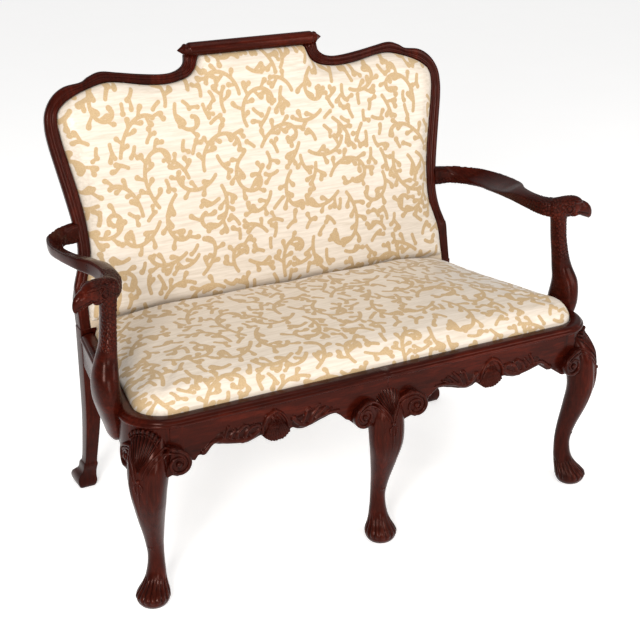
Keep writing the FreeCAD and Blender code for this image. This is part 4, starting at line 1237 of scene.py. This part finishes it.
def carveKnee(bm, ground, name, foot, right, out):
    look, knee = kneeLook, kneeLook[name]
    face = (foot + upward * knee["apex"], right, out)
    addShell(bm, ground, face, knee["spread"], knee["reach"])
    # a drop hangs below the apex, with two small leaves and a fading vein
    for side in (-1, 1):
        for path, steps, lift in (look["leaf"], look["vein"]):
            path = [(side * s, t, w) for s, t, w in path]
            ridge(bm, ground, face, path, steps, lift, look["dropTone"])
    path, steps, lift = look["husk"]
    ridge(bm, ground, face, path, steps, lift, look["dropTone"])
    addBeads(bm, ground, face, [look["drop"]], look["dropTone"])
    # beads stand along the collar
    beads = []
    for k in range(look["beads"]):
        u = 2 * k / (look["beads"] - 1) - 1
        a = math.radians(knee["spread"]) * u * look["beadSpread"]
        far = fanReach(knee["reach"], u) * look["beadReach"]
        beads.append((far * math.sin(a), far * math.cos(a), look["beadSize"]))
    bm.verts.ensure_lookup_table()
    bm.faces.ensure_lookup_table()
    addBeads(bm, BVHTree.FromBMesh(bm), face, beads)


def addScroll(bm, tree, name, face):
    # a double line that rises from the shell's apex, crosses the ear and turns into its eye
    look = scrollLook
    reach, drop = earLook[name][:2]
    u, z = reach - earLook["eye"], drop + earLook["eye"]
    path = [(x, y, w * look["wide"]) for x, y, w in look[name]]
    for k in range(look["turns"]):
        a, q = math.radians(44 - 42 * k), look["radius"] * (1 - 0.055 * k)
        path.append((u + q * math.cos(a), z + q * math.sin(a), look["wide"] * (1.05 - 0.035 * k)))
    ridge(bm, tree, face, path, look["steps"], 0.0004)
    inner = [(x + 0.0035, y - 0.0085, w * 0.6) for x, y, w in path[:5]]
    inner += [(x + (u - x) * 0.30, y + (z - y) * 0.30, w * 0.6) for x, y, w in path[5:9]]
    ridge(bm, tree, face, inner, look["innerSteps"], 0.0003)
    addBeads(bm, tree, face, [(u, z, look["eyeBall"])])


def buildKnees():
    bm = carvedMesh()
    ground = treeOf([cornerLegs, middleLeg, rim])
    across = (rightward - forward).normalized()
    carveKnee(bm, ground, "corner", cornerLegFoot, across, diagonal)
    ears = treeOf([kneeEars, cornerLegs, middleLeg])
    for name, face in earFaces.items():
        addScroll(bm, ears, name, face)
    mirrorCopy(bm)
    # the middle knee's carving lies across the mirror, so it is drawn whole
    carveKnee(bm, ground, "middle", middleLegFoot, rightward, forward)
    finishMesh(bm, "kneeCarving", carvedUp)


buildKnees()
print("knees carved")

# seat rails: a shaped and carved apron in front, plain boards at the sides
apronLook = {
    "top": 0.4150, "back": -0.2811, "face": -0.3283, "end": 0.5140, "columns": 560, "rows": 44, "steep": 0.75,
    "edge": [(0, 317), (40, 316), (64, 316), (76, 320), (88, 326), (97, 334), (105, 338), (113, 346),
             (121, 353),
             (131, 359.5), (143, 359.6), (163, 354.6), (193, 346), (210, 343), (223, 345), (237, 350.7),
             (247, 343), (254, 336.5), (262, 332.6), (270, 332.6), (277, 331.4), (289, 333.9), (300, 340.9),
             (311, 350.7), (324, 346.8), (343, 342), (362, 344.3), (381, 348.5), (404, 354.2), (417, 357),
             (427, 352.3), (431, 343.8), (438, 338.1), (446, 339.1), (453, 339.9), (462, 330.6), (469, 332.3),
             (478, 319), (488, 315), (500, 315)],
    # the face rounds over to the cut edge: radius and depth
    "round": (0.0016, 0.0009),
    # carved strokes: points across and up (mm), radius at the start and at the end
    "strokes": [
        ([(442, 345), (437, 349), (430, 356)], 6.2, 5.0), ([(433, 354), (420, 363), (402, 365)], 5.0, 5.6),
        ([(404, 362), (380, 356), (352, 351)], 6.6, 7.4), ([(354, 350), (332, 353), (314, 364)], 7.2, 4.4),
        ([(396, 362), (393, 374), (386, 386)], 5.0, 3.6), ([(383, 360), (379, 369), (371, 378)], 5.0, 3.4),
        ([(368, 357), (364, 371), (350, 383)], 5.6, 4.4), ([(350, 383), (341, 380), (341, 370)], 4.4, 2.8),
        ([(350, 356), (341, 371), (326, 378)], 5.6, 5.2), ([(326, 378), (315, 376), (315, 366)], 5.2, 3.0),
        ([(333, 357), (322, 362), (311, 372)], 4.6, 2.8),
        ([(234, 372), (226, 363), (217, 355)], 6.0, 5.2), ([(219, 355), (205, 351), (188, 356)], 5.8, 5.4),
        ([(190, 356), (174, 362), (158, 365)], 5.4, 4.4), ([(162, 364), (144, 367), (124, 367)], 4.2, 2.2),
        ([(214, 356), (208, 368), (203, 382)], 5.0, 3.6), ([(203, 382), (197, 388), (192, 384)], 3.6, 2.2),
        ([(194, 358), (186, 374), (171, 390)], 5.6, 3.4), ([(180, 362), (171, 371), (159, 382)], 4.6, 2.6),
        ([(160, 366), (152, 372), (142, 376)], 3.6, 2.0),
    ],
    "strokeHeight": 5.4, "strokeSteps": 16, "curve": 8,
    # balls: across, up, radius, height
    "balls": [(443, 345, 7.0, 6.0), (234, 373, 7.0, 6.2), (386, 388, 4.6, 4.6), (371, 380, 4.2, 4.2),
              (328, 377, 5.6, 6.0), (277, 401, 4.6, 7.6)],
    # slightly raised ground under the leaves: points and radius
    "grounds": [([(400, 364), (360, 362), (318, 366)], 17.0), ([(222, 360), (190, 366), (160, 370)], 15.0)],
    "groundHeight": 1.6,
    # bands that bound the shell on both sides: points, radius, height
    "bands": [([(279, 401), (295, 392), (306, 374), (308, 356)], 3.8, 7.0),
              ([(275, 401), (262, 392), (251, 376), (247, 358)], 2.8, 5.5)],
    # scallop: middle across, apex and foot heights, half width at the foot
    "scallop": {"middle": 275, "apex": 399, "foot": 332, "half": 35, "ribs": 11, "height": 6.0, "flute": 2.4},
}


def apronEdge(x):
    # the shaped lower edge, eased from one point of its table to the next
    points = apronLook["edge"]
    mm = abs(x) * 1000
    for k in range(len(points) - 2):
        (ax, az), (bx, bz) = points[k:k + 2]
        if ax <= mm <= bx:
            (px, pz), (qx, qz) = points[max(k - 1, 0)], points[k + 2]
            steep = apronLook["steep"] * (bx - ax)
            return eased((mm - ax) / (bx - ax), az, bz, (bz - pz) / max(bx - px, 1) * steep,
                         (qz - az) / max(qx - ax, 1) * steep) / 1000
    return points[-1][1] / 1000


def dome(xs, zs, x, z, r):
    # section of a ball of radius 1 over a grid of points
    return np.sqrt(np.maximum(0, 1 - ((xs - x) ** 2 + (zs - z) ** 2) / r ** 2))


def scallopRelief(xs, zs):
    shell = apronLook["scallop"]
    dx, dz = xs - shell["middle"], shell["apex"] - zs
    far = shell["apex"] - shell["foot"]
    u = np.arctan2(dx, np.maximum(dz, 0.01)) / math.atan2(shell["half"], far * 0.80)
    v = np.hypot(dx, dz) / (far * (1.02 - 0.10 * u * u))
    flutes = np.abs(np.cos(np.pi * shell["ribs"] * (u + 1) / 2)) ** 1.5
    h = shell["height"] * (0.35 + 0.65 * np.minimum(1, v * 2.2)) - shell["flute"] * flutes
    h *= np.clip((1 - np.abs(u)) / 0.07, 0, 1)
    return np.where((np.abs(u) < 1) & (dz > 0) & (v < 1.10), h, 0)


def apronRelief(xs, zs):
    # height of the carving over the rail's face, in mm, at points given in mm
    look = apronLook
    count = look["strokeSteps"]
    parts = [scallopRelief(xs, zs)]
    for path, r in look["grounds"]:
        for p in evenly(flatCurve(path, look["curve"]), count):
            d = np.hypot(xs - p.x, zs - p.y) / r
            parts.append(look["groundHeight"] * np.clip((1 - d) * 4, 0, 1))
    for path, first, last in look["strokes"]:
        for k, p in enumerate(evenly(flatCurve(path, look["curve"]), count)):
            r = first + (last - first) * k / (count - 1)
            parts.append(look["strokeHeight"] * (0.65 + 0.35 * r / 5) * dome(xs, zs, p.x, p.y, r))
    for path, r, high in look["bands"]:
        parts += [high * dome(xs, zs, p.x, p.y, r) for p in flatCurve(path, look["curve"])]
    parts += [high * dome(xs, zs, x, z, r) for x, z, r, high in look["balls"]]
    return np.maximum(0, np.max(parts, axis=0))


def buildFrontRail():
    look = apronLook
    bm = carvedMesh()
    layer = bm.verts.layers.float.get("relief")
    made = bmesh.ops.create_grid(bm, x_segments=look["columns"], y_segments=look["rows"], size=0.5)["verts"]
    xs = np.array([(v.co.x + 0.5) * look["end"] for v in made])
    edges = np.array([apronEdge(x) for x in xs])
    zs = edges + (look["top"] - edges) * np.array([v.co.y + 0.5 for v in made])
    high = apronRelief(xs * 1000, zs * 1000) / 1000
    radius, deep = look["round"]
    for v, x, z, edge, h in zip(made, xs, zs, edges, high):
        over = max(0.0, 1 - (z - edge) / radius)
        v.co = at(x, look["face"] - h + deep * over * over, z)
        # tone: painted shade where the carving meets the face, a painted highlight on its heights
        v[layer] = 0.5 if h <= 0 else min(0.75, 0.10 + h * 115)
    back = bmesh.ops.extrude_face_region(bm, geom=bm.faces[:], use_keep_orig=True)["geom"]
    for v in [g for g in back if isinstance(g, bmesh.types.BMVert)]:
        v.co.y = look["back"] + settle
        v[layer] = 0.5
    # the rear of the rail needs no fine grid
    bmesh.ops.dissolve_faces(bm, faces=[g for g in back if isinstance(g, bmesh.types.BMFace)])
    mirrorCopy(bm)
    bmesh.ops.remove_doubles(bm, verts=[v for v in bm.verts if abs(v.co.x) < 1e-5], dist=1e-6)
    return finishMesh(bm, "frontRail", carvedAlong, replaced=("front_seat_rail",), sharp=58)


sideRailLook = {"section": [(0.0038, 0.4150), (0.0038, 0.3500), (0.0060, 0.3455), (0.0500, 0.3455),
                            (0.0500, 0.4042)], "from": -0.2265, "to": 0.1965, "steps": 30}


def buildSideRails():
    look = sideRailLook
    rings = []
    for k in range(look["steps"] + 1):
        y = look["from"] + (look["to"] - look["from"]) * k / look["steps"]
        rings.append([at(*sidePoint(y, inset, z)) for inset, z in look["section"]])
    bm = bmesh.new()
    sweep(bm, rings)
    mirrorCopy(bm)
    return finishMesh(bm, "sideRails", woodAlongY, replaced=("side_seat_rail_left", "side_seat_rail_right"),
                      sharp=30)


buildFrontRail()
buildSideRails()
print("seat rails made")

# arms: dished rails that end in an eagle's head, on curved supports
armLook = {
    "height": 0.688, "voxel": 0.00145, "dish": 0.0034, "crown": 0.0035, "curve": 10,
    # outer top edge, thickness under it, inner top edge, thickness under it (mm, height above the arm's)
    "stations": [((504, 262, -8), 40, (504, 236, -10), 42), ((530, 240, -2), 34, (524, 228, -18), 34),
                 ((556, 214, -1), 28, (539, 208, -28), 22), ((584, 177, -1), 26, (548, 170, -31), 14),
                 ((598, 121, 0), 25, (545, 118, -27), 10), ((597, 71, 2), 25, (536, 74, -23), 9),
                 ((592, 30, 4), 26, (526, 32, -17), 9), ((583, -8, 5), 28, (522, -12, -11), 13),
                 ((566, -44, 4), 31, (521, -56, -5), 20), ((560, -90, 3), 34, (525, -104, -3), 27),
                 ((564, -128, 3), 36, (533, -152, -3), 32), ((576, -146, 5), 40, (556, -184, -2), 36)],
    # stations, counted from each end, between which the dish comes in
    "dishIn": (0, 12), "dishOut": (34, 46), "topSteps": 12, "underSteps": 8,
    "edge": 0.0045, "edgeDrop": 0.0022, "sides": (0.25, 0.5, 0.75, 0.93), "underHollow": 0.0020,
    # the first station again, inside the back's stile
    "tenon": Vector((-0.016, 0.004, 0)),
    "supportTop": 0.670, "supportSteps": 90,
    # height, middle x, middle y, half sizes
    "support": [(0.343, 0.577, -0.171, 0.0065, 0.018), (0.352, 0.5783, -0.1725, 0.0115, 0.0255),
                (0.376, 0.5805, -0.1755, 0.017, 0.0355), (0.410, 0.586, -0.1785, 0.023, 0.0435),
                (0.445, 0.5915, -0.182, 0.027, 0.0435), (0.490, 0.593, -0.183, 0.0273, 0.034),
                (0.526, 0.586, -0.177, 0.023, 0.025), (0.556, 0.580, -0.175, 0.018, 0.024),
                (0.600, 0.575, -0.171, 0.0165, 0.0218), (0.656, 0.571, -0.170, 0.0175, 0.021)],
}
headLook = {
    "start": at(0.560, -0.166, 0.674), "skullSteps": 36, "beakSteps": 43,
    # along the head, half width, half height, rise
    "skull": [(-0.010, 0.015, 0.019, -0.002), (0.000, 0.0185, 0.0225, 0.0), (0.012, 0.0195, 0.0238, 0.001),
              (0.028, 0.0206, 0.0256, 0.001), (0.042, 0.0205, 0.0252, 0.0015), (0.054, 0.0180, 0.0222, 0.003),
              (0.064, 0.0140, 0.0175, 0.003), (0.070, 0.0100, 0.0120, 0.003)],
    # the same, and how far the section tips forward, in degrees
    "beak": [(0.054, 0.0130, 0.0160, -0.0010, 0), (0.063, 0.0146, 0.0182, -0.0028, 4),
             (0.072, 0.0140, 0.0186, -0.0058, 10), (0.080, 0.0118, 0.0174, -0.0100, 18),
             (0.0862, 0.0092, 0.0146, -0.0152, 28), (0.0900, 0.0066, 0.0108, -0.0208, 38),
             (0.0920, 0.0042, 0.0070, -0.0262, 50), (0.0926, 0.0018, 0.0032, -0.0308, 58)],
    # lower beak and cere, then what lies on both sides: eye and nostril, lids and brow, cheek
    # a ball has its place along, aside and up, its radius and its squeeze; a tube its points and radii
    "middleBalls": [((0.063, 0, -0.0150), 0.0105, (1.6, 1.0, 0.78)),
                    ((0.0600, 0, 0.0050), 0.0145, (0.45, 1.05, 1.0))],
    "sideBalls": [((0.031, 0.0185, -0.0006), 0.0068, (1.15, 0.95, 0.95)),
                  ((0.066, 0.0105, 0.0064), 0.0058, (1.3, 0.85, 0.8))],
    "tubes": [([(0.0435, 0.0195, -0.0030), (0.035, 0.0218, 0.0078), (0.026, 0.0218, 0.0076),
                (0.0170, 0.0205, -0.0006)], (0.0016, 0.0030, 0.0030, 0.0014)),
              ([(0.0435, 0.0195, -0.0030), (0.035, 0.0218, -0.0090), (0.026, 0.0218, -0.0078),
                (0.0170, 0.0205, -0.0006)], (0.0016, 0.0030, 0.0030, 0.0014)),
              ([(0.067, 0.0105, 0.0110), (0.056, 0.0178, 0.0150), (0.042, 0.0208, 0.0166),
                (0.024, 0.0200, 0.0150)], (0.0024, 0.0046, 0.0046, 0.0018))],
    "cheek": ((0.045, 0.0150, -0.0140), 0.0100, (1.35, 0.6, 0.75)),
}
headAxis = Vector((97, -28, 0)).normalized()
headSide = Vector((-headAxis.y, headAxis.x, 0))
headTurn = Matrix((headAxis, headSide, upward)).transposed().to_4x4()


def headPoint(along, aside, up):
    return headLook["start"] + headAxis * along + headSide * aside + upward * up


def superRing(centre, u, w, halfU, halfW, full=2.35, count=40):
    return [centre + u * (squared(c, full) * halfU) + w * (squared(s, full) * halfW)
            for c, s in circle(count)]


def armSide(edge, inward, deep, shares, lean, hollow):
    # a side of the arm under its top edge, a little hollow and leaning in
    side = []
    for n, s in enumerate(shares):
        inside = lean * s - hollow * math.sin(math.pi * (n + 1) / 5)
        side.append(edge + inward * inside - upward * (deep * s))
    return side


def armRing(o, deepO, i, deepI, pad):
    # outer and inner top edge, the thickness under each, and how much of the dish there is
    look = armLook
    flat = (o - i).normalized()
    ring = []
    # dished top, from the outer edge to the inner one
    for s in range(look["topSteps"] + 1):
        w = s / look["topSteps"]
        edge = min(w, 1 - w) * (o - i).length
        drop = look["edgeDrop"] * (1 - bump(max(0.0, look["edge"] - edge), look["edge"]))
        bow = look["dish"] * pad - look["crown"] * (1 - pad)
        ring.append(o.lerp(i, w) - upward * (drop + bow * 4 * w * (1 - w)))
    ring += armSide(i, flat, deepI, look["sides"], 0.003, 0.0016)
    low, high = i + flat * 0.0050 - upward * deepI, o - flat * 0.0065 - upward * deepO
    for s in range(look["underSteps"] + 1):
        w = s / look["underSteps"]
        ring.append(low.lerp(high, w) - upward * (look["underHollow"] * 4 * w * (1 - w)))
    return ring + armSide(o, -flat, deepO, look["sides"][::-1], 0.004, 0.0022)


def armRings():
    look = armLook
    rows = []
    for o, deepO, i, deepI in look["stations"]:
        edges = [(x / 1000, y / 1000, look["height"] + z / 1000) for x, y, z in (o, i)]
        rows.append((*edges, (deepO / 1000, deepI / 1000, 0)))
    outer, inner, drops = (throughPoints([r[n] for r in rows], look["curve"]) for n in range(3))
    last = len(outer) - 1
    rings = []
    for k, (o, i, d) in enumerate(zip(outer, inner, drops)):
        pad = smooth(*look["dishIn"], k) * smooth(*look["dishOut"], last - k)
        rings.append(armRing(at(*o), d.x, at(*i), d.y, pad))
    # the arm is let into the side of the back's stile
    return [[p + look["tenon"] for p in rings[0]]] + rings


def addBall(bm, place, radius, squeeze):
    matrix = Matrix.Translation(headPoint(*place)) @ headTurn @ Matrix.Diagonal((*squeeze, 1))
    bmesh.ops.create_icosphere(bm, subdivisions=3, radius=radius, matrix=matrix)


def addTube(bm, points, radii, steps=26):
    run = evenly(throughPoints([headPoint(*p) for p in points], 8), steps)
    rings = []
    for k, (p, r) in enumerate(zip(run, evenSizes(radii, steps))):
        way = (run[min(k + 1, steps - 1)] - run[max(k - 1, 0)]).normalized()
        side = way.cross(upward)
        side = side.normalized() if side.length > 0.05 else headSide
        rings.append(superRing(p, side, side.cross(way), r, r, 2.0, 12))
    sweep(bm, rings)


def skullRings():
    look = headLook
    rings = []
    low, high = look["skull"][0][0], look["skull"][-1][0]
    for k in range(look["skullSteps"] + 1):
        t = low + (high - low) * k / look["skullSteps"]
        wide, tall, rise = tableAt(look["skull"], t)
        rings.append(superRing(headPoint(t, 0, rise), headSide, upward, wide, tall))
    return rings


def beakRings():
    look = headLook
    rings = []
    for k in range(look["beakSteps"] + 1):
        share = k / look["beakSteps"] * (len(look["beak"]) - 1)
        n = min(int(share), len(look["beak"]) - 2)
        t, wide, tall, rise, tip = (a + (b - a) * (share - n) for a, b in zip(*look["beak"][n:n + 2]))
        high = upward * math.cos(math.radians(tip)) + headAxis * math.sin(math.radians(tip))
        rings.append(superRing(headPoint(t, 0, rise), headSide, high, wide, tall, 2.0, 28))
    return rings


def supportRings():
    look = armLook
    low, high = look["support"][0][0], look["supportTop"]
    rings = []
    for k in range(look["supportSteps"] + 1):
        z = low + (high - low) * k / look["supportSteps"]
        x, y, halfX, halfY = tableAt(look["support"], z)
        rings.append(superRing(at(x, y, z), rightward, -forward, halfX, halfY))
    return rings


def buildArm():
    look = headLook
    bm = bmesh.new()
    for rings in (armRings(), supportRings(), skullRings(), beakRings()):
        sweep(bm, rings)
    for ball in look["middleBalls"]:
        addBall(bm, *ball)
    for side in (-1, 1):
        def aside(place):
            return place[0], side * place[1], place[2]
        for place, radius, squeeze in look["sideBalls"]:
            addBall(bm, aside(place), radius, squeeze)
        for points, radii in look["tubes"]:
            addTube(bm, [aside(p) for p in points], radii)
        place, radius, squeeze = look["cheek"]
        addBall(bm, aside(place), radius, squeeze)
    bmesh.ops.recalc_face_normals(bm, faces=bm.faces)
    piece = newPiece(bm, "armRight")
    evenMesh(piece, armLook["voxel"])
    return piece


# where the arm meets its support is softened most, and all but the head is evened a little
blendLook = {"heart": at(0.566, -0.160, 0.660), "reach": 0.044, "times": 14, "face": (0.05, 0, 0),
             "faceReach": 0.026, "evened": 2, "head": (0.045, 0, 0), "headReach": 0.034}


def blendJoint(piece):
    look = blendLook
    bm = bmesh.new()
    bm.from_mesh(piece.data)
    face, head = headPoint(*look["face"]), headPoint(*look["head"])
    joint = [v for v in bm.verts if (v.co - look["heart"]).length < look["reach"]
             and (v.co - face).length > look["faceReach"]]

    def soften(verts, times):
        for _ in range(times):
            bmesh.ops.smooth_vert(bm, verts=verts, factor=0.5, use_axis_x=True, use_axis_y=True,
                                  use_axis_z=True)
    soften(joint, look["times"])
    soften([v for v in bm.verts if (v.co - head).length > look["headReach"]], look["evened"])
    bm.to_mesh(piece.data)
    bm.free()


featherLook = {"seed": 11, "size": 0.0078, "apart": 0.86, "high": 0.0016, "least": 0.02,
               "neckFlow": Vector((0, 0.85, -0.5)).normalized(),
               "frontFlow": Vector((0, 0.2, -1)).normalized(),
               "neckFrom": 0.64}


def featherShare(p, n):
    # 1 on the neck, the head and the front of the support, 0 on the smooth parts
    y = p.y - settle
    along = (p - headLook["start"]).dot(headAxis)
    neck = smooth(-0.092, -0.110, y) * smooth(0.634, 0.648, p.z) * smooth(0.052, 0.044, along)
    front = smooth(0.543, 0.553, p.z) * smooth(-0.05, 0.25, -n.y) * smooth(0.66, 0.64, p.z)
    return max(neck, front)


def featherSeeds(places):
    # places no nearer to each other than most of a feather
    size, cells, seeds = featherLook["size"], {}, []
    for p in places:
        x, y, z = (math.floor(c / size) for c in p)
        close = (q for i in (-1, 0, 1) for j in (-1, 0, 1) for k in (-1, 0, 1)
                 for q in cells.get((x + i, y + j, z + k), ()))
        if all((q - p).length >= size * featherLook["apart"] for q in close):
            cells.setdefault((x, y, z), []).append(p)
            seeds.append(p)
    return seeds


faceLook = {
    # eye: along, up, radius of what is touched, of the hollow round it, its width, depth and lift
    "eye": (0.031, -0.0006, 0.0125, 0.0072, 0.0013, 0.0016, 0.0008), "eyeAside": 0.011,
    # mouth: from, to, width and depth of the line
    "mouth": (0.048, 0.090, 0.0013, 0.0022),
}


def carveFace(mesh, verts, tones):
    # the hollow round each eye, and the line of the mouth, both darkened with painted shade; the rest of the
    # eye is lightened by a painted highlight
    eyeAt, eyeUp, reach, radius, wide, deep, lift = faceLook["eye"]
    start, end, lineWide, lineDeep = faceLook["mouth"]
    for index, (p, n) in enumerate(verts):
        q = p - headLook["start"]
        t, s = q.dot(headAxis), q.dot(headSide)
        r = math.hypot(t - eyeAt, q.z - eyeUp)
        if r < reach and abs(s) > faceLook["eyeAside"]:
            ring = bell(r, radius, wide)
            ball = smooth(reach, 0.0105, r) * smooth(0.0085, 0.0095, r)
            mesh.vertices[index].co -= n * (deep * ring - lift * ball)
            tones[index] = 0.62 - 0.56 * ring
        if start < t < end:
            line = -0.0105 - 0.10 * (t - start) - 5.5 * (t - 0.055) ** 2
            cut = bell(q.z, line, lineWide) * smooth(start, 0.054, t) * smooth(end, 0.084, t)
            mesh.vertices[index].co -= n * (lineDeep * cut)
            tones[index] -= 0.45 * cut


def carveFeathers(piece):
    look = featherLook
    size, mesh = look["size"], piece.data
    verts = [(v.co.copy(), v.normal.copy()) for v in mesh.vertices]
    shares = [featherShare(p, n) for p, n in verts]
    order = [k for k, s in enumerate(shares) if s > look["least"]]
    random.Random(look["seed"]).shuffle(order)
    tree = kdTree(featherSeeds(verts[k][0] for k in order))
    tones = np.full(len(verts), 0.5, np.float32)
    for k in order:
        p, n = verts[k]
        (a, _, near), (_, _, far) = tree.find_n(p, 2)
        scale = smooth(0.0, 0.34 * size, far - near)
        flow = look["neckFlow"] if p.z > look["neckFrom"] else look["frontFlow"]
        tip = (p - a).dot(flow) / size
        h = look["high"] * (scale * (0.78 + 0.8 * tip) - 0.66)
        mesh.vertices[k].co = p + n * (h * shares[k])
        # tone: painted shade between the feathers, a painted highlight on their domes and tips
        tones[k] = 0.5 + shares[k] * (scale * 0.62 - 0.46 + 0.25 * tip)
    carveFace(mesh, verts, tones)
    mesh.attributes.new("relief", "FLOAT", "POINT").data.foreach_set("value", np.clip(tones, 0, 1))


def buildArms():
    right = buildArm()
    blendJoint(right)
    carveFeathers(right)
    bm = bmesh.new()
    bm.from_mesh(right.data)
    bmesh.ops.scale(bm, vec=(-1, 1, 1), verts=bm.verts)
    bmesh.ops.reverse_faces(bm, faces=bm.faces)
    left = newPiece(bm, "armLeft")
    for piece, side in ((right, "right"), (left, "left")):
        piece.data.shade_smooth()
        dress(piece, carvedArms, "frame", ("arm_" + side, "arm_support_" + side))
    print("arms made,", len(right.data.polygons), "faces each")


buildArms()


# stage, light and camera
def buildStage():
    bm = bmesh.new()
    bmesh.ops.create_grid(bm, x_segments=8, y_segments=8, size=24)
    floor = newPiece(bm, "floor")
    add, ramp, shade, place = newMaterial("paleFloor")
    tint = ramp(add("TexNoise", {"Vector": place}, Scale=3.0),
                [(0.0, (0.95, 0.95, 0.95)), (1.0, (0.98, 0.98, 0.98))])
    floor.data.materials.append(shade({"Base Color": tint}, Roughness=0.9, Specular_IOR_Level=0.1,
                                      Emission_Color=(1, 1, 1, 1), Emission_Strength=0.48))


lightLook = {
    # place, aimed at, size, watts
    "keyLeft": ((-2.4, -2.8, 2.0), (0.0, 0.0, 0.6), 0.95, 108),
    "fillRight": ((2.4, -2.8, 1.5), (0.1, 0.0, 0.5), 1.6, 44),
    "overhead": ((0.2, -0.6, 3.2), (0.0, 0.0, 0.5), 2.0, 28),
    "lowFront": ((-0.4, -3.6, 0.9), (0.0, -0.2, 0.45), 0.9, 26),
}
worldLook = {"colour": (1.0, 0.99, 0.98, 1), "strength": 0.42, "lampColour": (1.0, 0.985, 0.96)}


def placeObject(name, data, place, turn):
    holder = bpy.data.objects.new(name, data)
    holder.location = place
    holder.rotation_mode = "QUATERNION"
    holder.rotation_quaternion = turn
    bpy.context.scene.collection.objects.link(holder)
    return holder


def buildLights():
    for name, (place, aim, size, watts) in lightLook.items():
        lamp = bpy.data.lights.new(name, "AREA")
        lamp.shape = "SQUARE"
        lamp.size = size
        lamp.energy = watts
        lamp.color = worldLook["lampColour"]
        placeObject(name, lamp, place, (Vector(aim) - Vector(place)).to_track_quat("-Z", "Y"))
    world = bpy.data.worlds.new("studio")
    world.use_nodes = True
    background = world.node_tree.nodes["Background"]
    background.inputs["Color"].default_value = worldLook["colour"]
    background.inputs["Strength"].default_value = worldLook["strength"]
    bpy.context.scene.world = world
    bpy.context.scene.view_settings.view_transform = "Standard"


cameraLook = {"azimuth": -28.7404, "elevation": 21.9995, "roll": -0.1157, "target": (0.0107, 0.0, 0.4323),
              "distance": 3.1704, "lens": 74.92, "sensor": 36, "far": 50}


def buildCamera():
    look = cameraLook
    camera = bpy.data.cameras.new("camera")
    camera.lens = look["lens"]
    camera.sensor_width = look["sensor"]
    camera.clip_end = look["far"]
    a, e = math.radians(look["azimuth"]), math.radians(look["elevation"])
    back = Vector((math.sin(a) * math.cos(e), -math.cos(a) * math.cos(e), math.sin(e)))
    roll = Matrix.Rotation(math.radians(look["roll"]), 3, "Z").to_quaternion()
    bpy.context.scene.camera = placeObject("camera", camera, at(*look["target"]) + back * look["distance"],
                                           (-back).to_track_quat("-Z", "Y") @ roll)


buildStage()
buildLights()
buildCamera()
print("stage, light and camera made")
